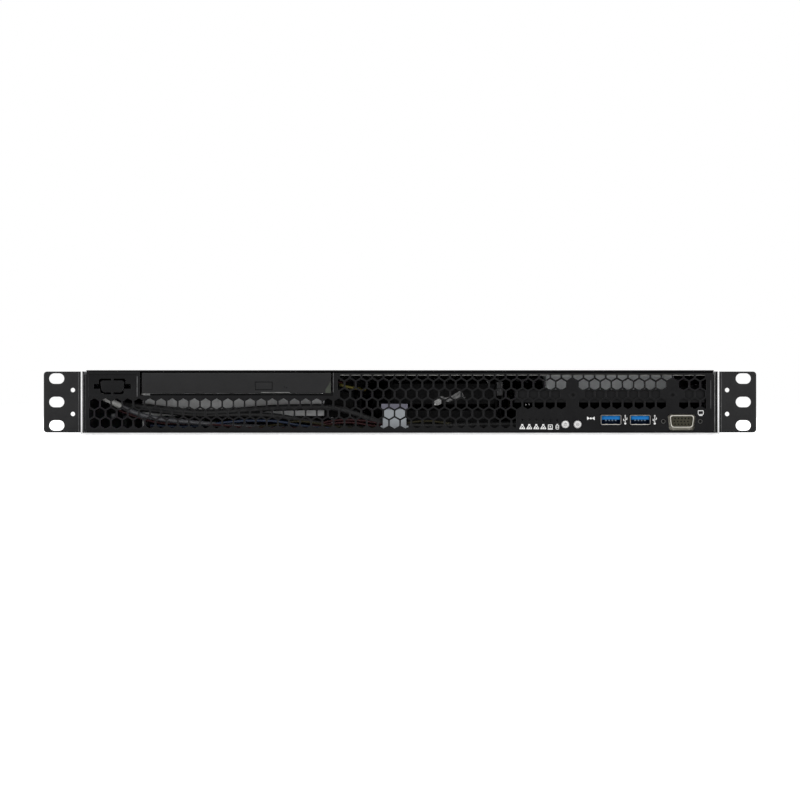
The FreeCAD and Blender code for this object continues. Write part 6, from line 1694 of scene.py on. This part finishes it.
@dataclass
class Mainboard:
    """The mainboard with what is soldered and plugged on it."""

    def cans(self) -> None:
        """Round capacitors, with sleeves and bare tops."""
        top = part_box("mainboard")[1].z
        left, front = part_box("mainboard")[0].x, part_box("mainboard")[0].y
        sleeves, caps = Stock(), Stock()
        spots = [(160 + 9 * k, 46) for k in range(4)]
        spots += [(84, 66 + 11 * k) for k in range(6)]
        spots += [(20 + 10 * k, 60) for k in range(5)]
        spots += [(206 - 9 * k, 200) for k in range(3)]
        for k, (dx, dy) in enumerate(spots):
            radius, height = ((3.1, 8.0), (4.0, 11.5))[k % 2]
            centre = Vector((left + dx * MM, front + dy * MM, top))
            r, h = radius * MM, height * MM
            sleeves.turned(centre, Axis.Z,
                           [(0.0, 0.0), (r, 0.0), (r, 0.9 * MM), (r * 0.93, 1.2 * MM), (r, 1.6 * MM),
                            (r, h - 0.5 * MM), (r * 0.9, h), (r * 0.8, h), (r * 0.8, h - 0.3 * MM),
                            (0.0, h - 0.3 * MM)], 28)
            caps.turned(centre + mm(0, 0, height - 0.32), Axis.Z, plug(r * 0.78, 0.12 * MM, 0.0), 28)
        sleeves.piece("capacitor_sleeves", CAN_SLEEVE, "chassis", "chip_black")
        caps.piece("capacitor_tops", CAN_TOP, "chassis", "heatsink")

    def chips(self) -> None:
        """Flat chips, chokes and a coin cell."""
        low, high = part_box("mainboard")
        top = high.z
        chips, chokes = Stock(), Stock()
        flats = [(30, 110, 14, 14), (30, 140, 20, 14), (60, 36, 12, 12), (120, 30, 10, 14),
                 (48, 210, 16, 16), (96, 214, 12, 12), (222, 196, 9, 12), (100, 180, 8, 8)]
        for dx, dy, width, depth in flats:
            corner = low + mm(dx, dy, 0)
            corner.z = top
            chips.block(corner, corner + mm(width, depth, 1.4), 0.2 * MM)
        for k in range(24):
            corner = Vector((low.x + (16 + (k * 37) % 200) * MM, low.y + (16 + (k * 53) % 30) * MM, top))
            chips.block(corner, corner + mm(2.2, 1.3, 0.7), 0.1 * MM)
        for k in range(5):
            corner = Vector((low.x + (104 + k * 13) * MM, low.y + 168 * MM, top))
            chokes.block(corner, corner + mm(10, 10, 6.5), 0.8 * MM, 3)
        chips.piece("board_chips", CHIP_BLACK, "chassis", "chip_black")
        chokes.piece("board_chokes", CHOKE_GREY, "chassis", "chip_black")
        cell = Vector((low.x + 40 * MM, low.y + 84 * MM, top))
        cup = profile((0.0, 0.0), (11.4, 0.0), (11.4, 3.6), (10.2, 3.6), (10.2, 2.2), (0.0, 2.2))
        holder = Stock().turned(cell, Axis.Z, cup, 48)
        holder.piece("cell_holder", CHIP_BLACK, "chassis", "chip_black")
        disc = profile((0.0, 0.0), (9.9, 0.0), (9.9, 2.6), (9.5, 3.0), (0.0, 3.0))
        coin = Stock().turned(cell + mm(0, 0, 2.2), Axis.Z, disc, 48)
        coin.piece("coin_cell", PLAIN_STEEL, "chassis", "screw_steel")

    def memory(self) -> None:
        """Chips along the memory modules, and the sockets' latches."""
        low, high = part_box("memory_modules")
        chips, latches = Stock(), Stock()
        for k in range(4):
            x = low.x + (0.65 + 9.5 * k) * MM
            for side in (-1, 1):
                face = x + side * 0.65 * MM
                for n in range(9):
                    y = low.y + (8.0 + 13.6 * n) * MM
                    xs = sorted((face, face + side * 1.1 * MM))
                    chips.block((xs[0], y, low.z + 11 * MM), (xs[1], y + 9.0 * MM, low.z + 23 * MM),
                                0.12 * MM)
            for y in (low.y - 3.9 * MM, high.y + 0.4 * MM):
                latches.block((x - 1.9 * MM, y, low.z + 2.2 * MM),
                              (x + 1.9 * MM, y + 3.5 * MM, low.z + 15 * MM), 0.5 * MM, 3)
        chips.piece("memory_chips", CHIP_BLACK, "chassis", "chip_black")
        latches.piece("memory_latches", PLUG_CREAM, "chassis", "plug_cream")

    def build(self) -> None:
        """Make the board and what is on it."""
        softened("mainboard", BOARD_GREEN, edge=0.1)
        softened("mainboard_standoffs", BRASS, edge=0.2)
        softened("cpu_socket", CHIP_BLACK, edge=0.3)
        softened("cpu_heatsink", FIN_ALUMINIUM, edge=0.12)
        softened("chipset_heatsink", FIN_ALUMINIUM, edge=0.12)
        softened("memory_sockets", CHIP_BLACK, edge=0.25)
        softened("memory_modules", BOARD_GREEN, edge=0.08)
        softened("board_connectors", PLUG_CREAM, edge=0.3)
        softened("main_power_plug", PLUG_CREAM, edge=0.4)
        softened("riser_socket", CHIP_BLACK, edge=0.25)
        softened("riser_card", BOARD_GREEN, edge=0.1)
        self.cans()
        self.chips()
        self.memory()


@dataclass
class RearPorts:
    """The port plate, its ports and the slot cover."""

    def seals(self, wall: float) -> None:
        """Spring-finger frames that close the gaps round the rear ports, and the pan's corner straps.

        Args:
            wall: The rear wall's inner face.
        """
        frames = Stock()
        frame_round(frames, "io_shield", (5.0, 3.6, 1.0), (-2.0, -2.0, 1.0),
                    wall - 0.45 * MM, wall - 0.05 * MM, 0.04 * MM)
        frame_round(frames, "rear_usb_ports", (2.6, 2.6, 0.4), (-0.3, -0.3, 0.3),
                    wall + 0.05 * MM, wall + 0.4 * MM, 0.04 * MM)
        frames.piece("shield_spring_frame", PLAIN_STEEL, "chassis", "port_steel")
        straps = Stock()
        low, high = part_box("base_pan")
        for side in (-1, 1):
            x0, x1 = handed(side, high.x - 4.4 * MM, high.x - 1.02 * MM)
            straps.block((x0, wall - 1.0 * MM, low.z + 1.2 * MM),
                         (x1, wall - 0.05 * MM, high.z - 1.0 * MM), 0.1 * MM)
        straps.piece("pan_corner_straps", ZINC, "chassis", "zinc_sheet")

    def build(self) -> None:
        """Make the rear ports."""
        softened("io_shield", PLAIN_STEEL, edge=0.08)
        softened("slot_cover", PLAIN_STEEL, edge=0.2)
        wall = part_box("base_pan")[1].y - Case.sheet
        backing = Stock()
        frame_round(backing, "slot_cover", (8.0, 8.0, 1.0), (-4.0, -4.0, 1.0),
                    wall - 0.8 * MM, wall - 0.05 * MM, 0.05 * MM)
        backing.piece("slot_backing_frame", DULL_ZINC, "chassis", "zinc_sheet")
        self.seals(wall)
        softened("rear_usb_ports", PORT_STEEL, edge=0.15)
        softened("rear_lan_ports", PORT_STEEL, edge=0.2)
        softened("rear_serial_port", PORT_STEEL, edge=0.12)
        softened("rear_vga_port", PORT_STEEL, edge=0.12)
        contacts = Stock()
        low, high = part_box("rear_lan_ports")
        for x in (-17.0, -40.0):
            for k in range(8):
                spot = (x + (k - 3.5) * 1.02) * MM
                contacts.block((spot - 0.22 * MM, high.y - 8.8 * MM, low.z + 9.4 * MM),
                               (spot + 0.22 * MM, high.y - 2.2 * MM, low.z + 9.9 * MM), 0.08 * MM)
        contacts.piece("network_contacts", CONTACT_GOLD, "chassis", "port_steel")
        for node, finish, name in (("rear_serial_port", CHIP_BLACK, "serial"),
                                   ("rear_vga_port", BLUE_MOULDING, "monitor")):
            port_low, port_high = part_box(node)
            spot = ((port_low.x + port_high.x) / 2, port_low.z + 6.2 * MM)
            core = Stock().plate(d_outline(15.8 * MM, 7.2 * MM), Axis.Y, port_high.y - 1.18 * MM,
                                 port_high.y - 0.6 * MM, 0.1 * MM, spot)
            core.piece(f"rear_{name}_core", finish, "chassis", "chip_black")
            # Near-black discs for the pin holes: painted shade.
            holes = Stock()
            rows = ((5, 1.4), (4, -1.4)) if name == "serial" else ((5, 1.9), (5, 0.0), (5, -1.9))
            for count, level in rows:
                for k in range(count):
                    x = spot[0] + (k - (count - 1) / 2) * 2.4 * MM
                    holes.turned(Vector((x, port_high.y - 0.57 * MM, spot[1] + level * MM)), Axis.Y,
                                 plug(0.5 * MM, 0.04 * MM, -0.04 * MM), 12)
            holes.piece(f"rear_{name}_holes", HOLE_SHADE, "chassis", "chip_black")


@dataclass
class PowerSupply:
    """The power supply with its fan, guard and inlet.

    Args:
        inlet_spot: The inlet's middle across and upwards, in millimetres.
        screw_spots: The rear screws, measured the same way.
    """

    inlet_spot: tuple[float, float] = (185.0, 21.0)
    screw_spots: tuple = ((119.0, 37.4), (206.5, 37.4), (119.0, 5.6), (206.5, 5.6))

    def build(self) -> None:
        """Make the power supply."""
        softened("psu_case", ZINC, edge=0.3)
        softened("psu_fan_guard", SCREW_STEEL, edge=0.2)
        softened("psu_inlet", BLACK_PLASTIC, edge=0.25)
        FanRow(tip=18.0 * MM).rotor("psu_fan_rotor", "psu_fan_rotor", -1)
        blades = Stock()
        for dx, dz in ((-7.0, -1.0), (0.0, 2.0), (7.0, -1.0)):
            x, z = self.inlet_spot[0] + dx, self.inlet_spot[1] + dz
            blades.block(mm(x - 1.0, 190.5, z - 2.1), mm(x + 1.0, 203.6, z + 2.1), 0.3 * MM)
        blades.piece("inlet_blades", CONTACT_TIN, "chassis", "port_steel")
        screws = Stock()
        for x, z in self.screw_spots:
            cross_head(screws, mm(x, 206.5, z), Axis.Y, 2.6 * MM, 1.2 * MM, 1)
        screws.piece("supply_screws", SCREW_STEEL, "chassis", "screw_steel")


@dataclass
class Wiring:
    """The held cables and the clip at the front.

    Args:
        lane: How deep behind the panel the coloured wires run, in millimetres.
        route: The front bundle's control points in millimetres.
    """

    lane: float = -202.6
    route: Route = field(default_factory=lambda: [
        (88, -192.5, 6.5), (60, -192.5, 6.5), (24, -202.3, 5.4), (-12, -202.3, 6.5), (-30, -203.2, 14.0),
        (-46, -203.6, 18.6), (-64, -203.6, 18.4), (-86, -203.6, 17.9), (-108, -203.6, 16.2),
        (-128, -203.6, 14.4),
        (-146, -203.6, 15.2), (-166, -203.4, 17.8), (-186, -201.0, 20.0), (-202, -174.3, 20.5),
        (-203, -114.3, 14.0), (-190, -55, 22.0), (-152, -29, 27.0), (-133, -29, 26.0), (-129, -29, 22.5),
        (-129, -29, 18.0)])

    def coloured(self, name: str, finish: Finish, points: Route, diameter: float = 1.5) -> None:
        """A single wire.

        Args:
            name: The piece's name.
            finish: Its jacket.
            points: Its control points in millimetres.
            diameter: Its diameter in millimetres.
        """
        strand(name, points, diameter, finish)

    def front(self) -> None:
        """The black bundle, the grey cable with a stretch painted light, and the coloured wires behind the
        vents.
        """
        strand("front_bundle_shown", self.route, 4.6, JACKET_BLACK, ("front_bundle",))
        strand("grey_cable_shown", [
            (-174.8, -103.5, 35), (-192, -103.5, 35), (-205, -133.5, 33), (-206, -175.5, 30.5),
            (-200, -207.6, 25.5),
            (-190, -208.0, 19.5), (-178, -208.0, 13.6), (-164, -207.6, 10.2), (-148, -207.4, 8.6),
            (-124, -205.3, 6.4),
            (-74, -197.3, 3.8), (-34, -196.3, 4.0), (-20, -173.5, 4.6), (-5.8, -173.5, 4.6)], 3.4,
            JACKET_GREY, ("grey_cable",))
        # A paler, thicker copy of the grey jacket over the cable's first stretch: painted light.
        strand("grey_cable_painted_light",
               [(-203.2, -205.6, 26.2), (-198.5, -208.4, 23.6), (-193.5, -208.8, 21.4),
                (-188.6, -208.7, 18.4)], 4.2,
               GREY_JACKET_LIT)
        strand("second_bundle", [
            (40, -188, 3.6), (0, -196, 3.8), (-40, -202.5, 4.6), (-64, -203.4, 9.0), (-84, -203.6, 12.6),
            (-104, -203.6, 13.4),
            (-122, -203.6, 12.9), (-140, -203.6, 13.0), (-158, -203.4, 15.0), (-176, -202.6, 17.2),
            (-192, -196.0, 18.0),
            (-198, -174.3, 16.5)], 3.6, JACKET_BLACK)
        y = self.lane
        self.coloured("red_wire_a", JACKET_RED, [
            (60, -190, 4.4), (24, y + 4, 4.4), (2, y + 1, 4.6), (-16, y - 2, 7.6), (-30, y - 3, 9.9),
            (-46, y - 3, 9.6), (-60, y - 1, 5.2),
            (-78, y, 3.6), (-112, y - 1, 4.2), (-128, y - 3, 7.8), (-142, y - 3, 8.3),
            (-156, y - 3, 7.0), (-168, y - 3, 8.4),
            (-180, y - 2, 12.0), (-191, y + 4, 16.0)])
        self.coloured("red_wire_b", JACKET_RED, [
            (66, -188, 4.2), (20, y + 2, 4.2), (-14, y - 2, 4.6), (-34, y - 4, 8.6), (-52, y - 2, 6.4),
            (-72, y, 3.8),
            (-106, y - 2, 4.2), (-124, y - 4, 6.6), (-140, y - 4, 6.9), (-160, y - 2, 7.6),
            (-184, y + 2, 14.0)])
        self.coloured("blue_wire", JACKET_BLUE, [
            (40, -186, 3.8), (0, y + 5, 3.8), (-36, y + 1, 3.8), (-66, y - 2, 5.2), (-82, y - 4, 8.9),
            (-98, y - 4, 9.2),
            (-112, y - 4, 8.8), (-130, y - 3, 6.4), (-148, y + 1, 4.4), (-170, y + 5, 6.0)], 1.9)
        self.coloured("yellow_wire", JACKET_YELLOW, [
            (52, -188, 5.2), (34, y + 1, 7.0), (22, y - 2, 9.0), (8, y - 2, 8.4), (-8, y - 1, 5.0),
            (-34, y, 3.8), (-56, y - 3, 7.2),
            (-70, y - 4, 9.4), (-82, y - 2, 6.2), (-104, y + 2, 4.2)], 1.4)
        self.coloured("upper_yellow_wire", JACKET_YELLOW_LIGHTER,
                      [(-46, -180, 38), (-42, -206, 34.2), (-38, -207, 32.6), (-30, -206.5, 31.0),
                       (-24, -190, 30)], 1.8)
        self.coloured("upper_red_wire", JACKET_RED,
                      [(-46, -178, 38), (-43, -205, 35.6), (-40.5, -206.5, 34.8), (-36, -196, 36.0)], 1.2)

    def harness(self) -> None:
        """Wires from the power supply to the mainboard's plug."""
        route = [(170, 15.5, 22), (170, -6.5, 22), (146, -28.5, 24), (100, -31.5, 32), (54, -31.5, 38.2),
                 (35.5, -31.5, 38.2), (30, -31.5, 33.5), (30, -31.5, 28)]
        jackets = (JACKET_BLACK, JACKET_YELLOW, JACKET_RED, JACKET_BLACK, JACKET_BLACK, JACKET_YELLOW,
                   JACKET_BLACK)
        for k, jacket in enumerate(jackets):
            turn = 2 * math.pi * k / (len(jackets) - 1)
            reach = 0.0 if k == len(jackets) - 1 else 1.95
            points = []
            for n, (x, y, z) in enumerate(route):
                angle = turn + 0.5 * n
                fan = 14.0 * (k / (len(jackets) - 1) - 0.5) * max(0, n - 5) / 2
                points.append((x + fan + reach * math.cos(angle) * 0.5, y + reach * math.cos(angle),
                               min(z + reach * math.sin(angle), 39.6)))
            stands_for = ("power_harness",) if k == 0 else ()
            strand(f"supply_wire_{k}", points, 1.75, jacket, stands_for)

    def clip(self) -> None:
        """The white cable clip, with a darker upper band painted as shade, and splayed feet."""
        softened("cable_clip", CLIP_NYLON, edge=0.5, segments=3)
        low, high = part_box("cable_clip")
        # The upper band is a darker copy of the clip's nylon: painted shade.
        band = Stock().block((low.x + 0.3 * MM, low.y - 0.25 * MM, high.z - 2.9 * MM),
                             (high.x - 0.3 * MM, low.y + 0.6 * MM, high.z + 0.8 * MM), 0.2 * MM)
        band.piece("clip_upper_band", CLIP_SHADE, "chassis", "clip_nylon")
        feet = Stock()
        for x0, x1 in ((low.x - 0.3 * MM, low.x + 1.6 * MM), (high.x - 1.6 * MM, high.x + 0.3 * MM)):
            feet.block((x0, low.y + 0.1 * MM, 4.2 * MM), (x1, low.y + 2.2 * MM, 5.8 * MM), 0.5 * MM, 3)
        feet.piece("clip_feet", CLIP_NYLON, "chassis", "clip_nylon")

    def crumpled(self, name: str, stations: list[tuple[float, float, float]], finish: Finish) -> None:
        """A thin strip of foil with creases across it.

        Args:
            name: The piece's name.
            stations: Along x, the strip's lower and upper edge in millimetres.
            finish: Its finish.
        """
        stock = Stock()
        rows = 5
        depths = (0.0, 0.9, 0.2, 0.7, 0.1, 1.0, 0.4)
        grid = []
        for k, (x, low, high) in enumerate(stations):
            column = []
            for row in range(rows):
                depth = -208.4 + depths[(3 * k + 2 * row) % len(depths)]
                height = low + (high - low) * row / (rows - 1)
                column.append(stock.bm.verts.new(mm(x + 0.25 * (row % 2), depth, height)))
            grid.append(column)
        sheet = [stock.bm.faces.new((a[row], b[row], b[row + 1], a[row + 1]))
                 for a, b in zip(grid, grid[1:]) for row in range(rows - 1)]
        bmesh.ops.solidify(stock.bm, geom=sheet, thickness=0.12 * MM)
        stock.piece(name, finish, "chassis", "screw_steel")

    def foil(self) -> None:
        """A crumpled silver strip, with a knot at its end, that ties a wire pair near the clip."""
        self.crumpled("foil_knot", [(23.1, 20.0, 22.6), (24.3, 19.6, 23.4), (25.4, 19.8, 24.4),
                                    (26.6, 20.0, 24.0),
                                    (27.8, 20.6, 23.2)], TAPE_SILVER)
        self.crumpled("foil_tie", [(26.9, 24.4, 25.8), (28.9, 23.4, 25.7), (30.9, 22.4, 25.0),
                                   (33.0, 21.8, 25.3),
                                   (35.4, 22.7, 26.3), (37.6, 23.8, 27.6), (40.0, 25.0, 29.0),
                                   (41.8, 25.2, 29.1),
                                   (42.9, 24.6, 27.0), (44.0, 24.2, 25.0)], TAPE_DULL)

    def build(self) -> None:
        """Make the cables and the clip."""
        self.front()
        self.harness()
        self.clip()
        self.foil()


def main() -> None:
    """Build the studio and every sub-assembly."""
    logging.basicConfig(level=logging.INFO, format="%(name)s: %(message)s")
    for assembly in (Studio(), Case(), Cover(), FrontPanel(), OpticalDrive(), FrontPorts(), DriveBay(),
                     FanRow(),
                     Mainboard(), RearPorts(), PowerSupply(), Wiring()):
        assembly.build()
    bpy.context.view_layer.update()


if __name__ == "__main__":
    main()
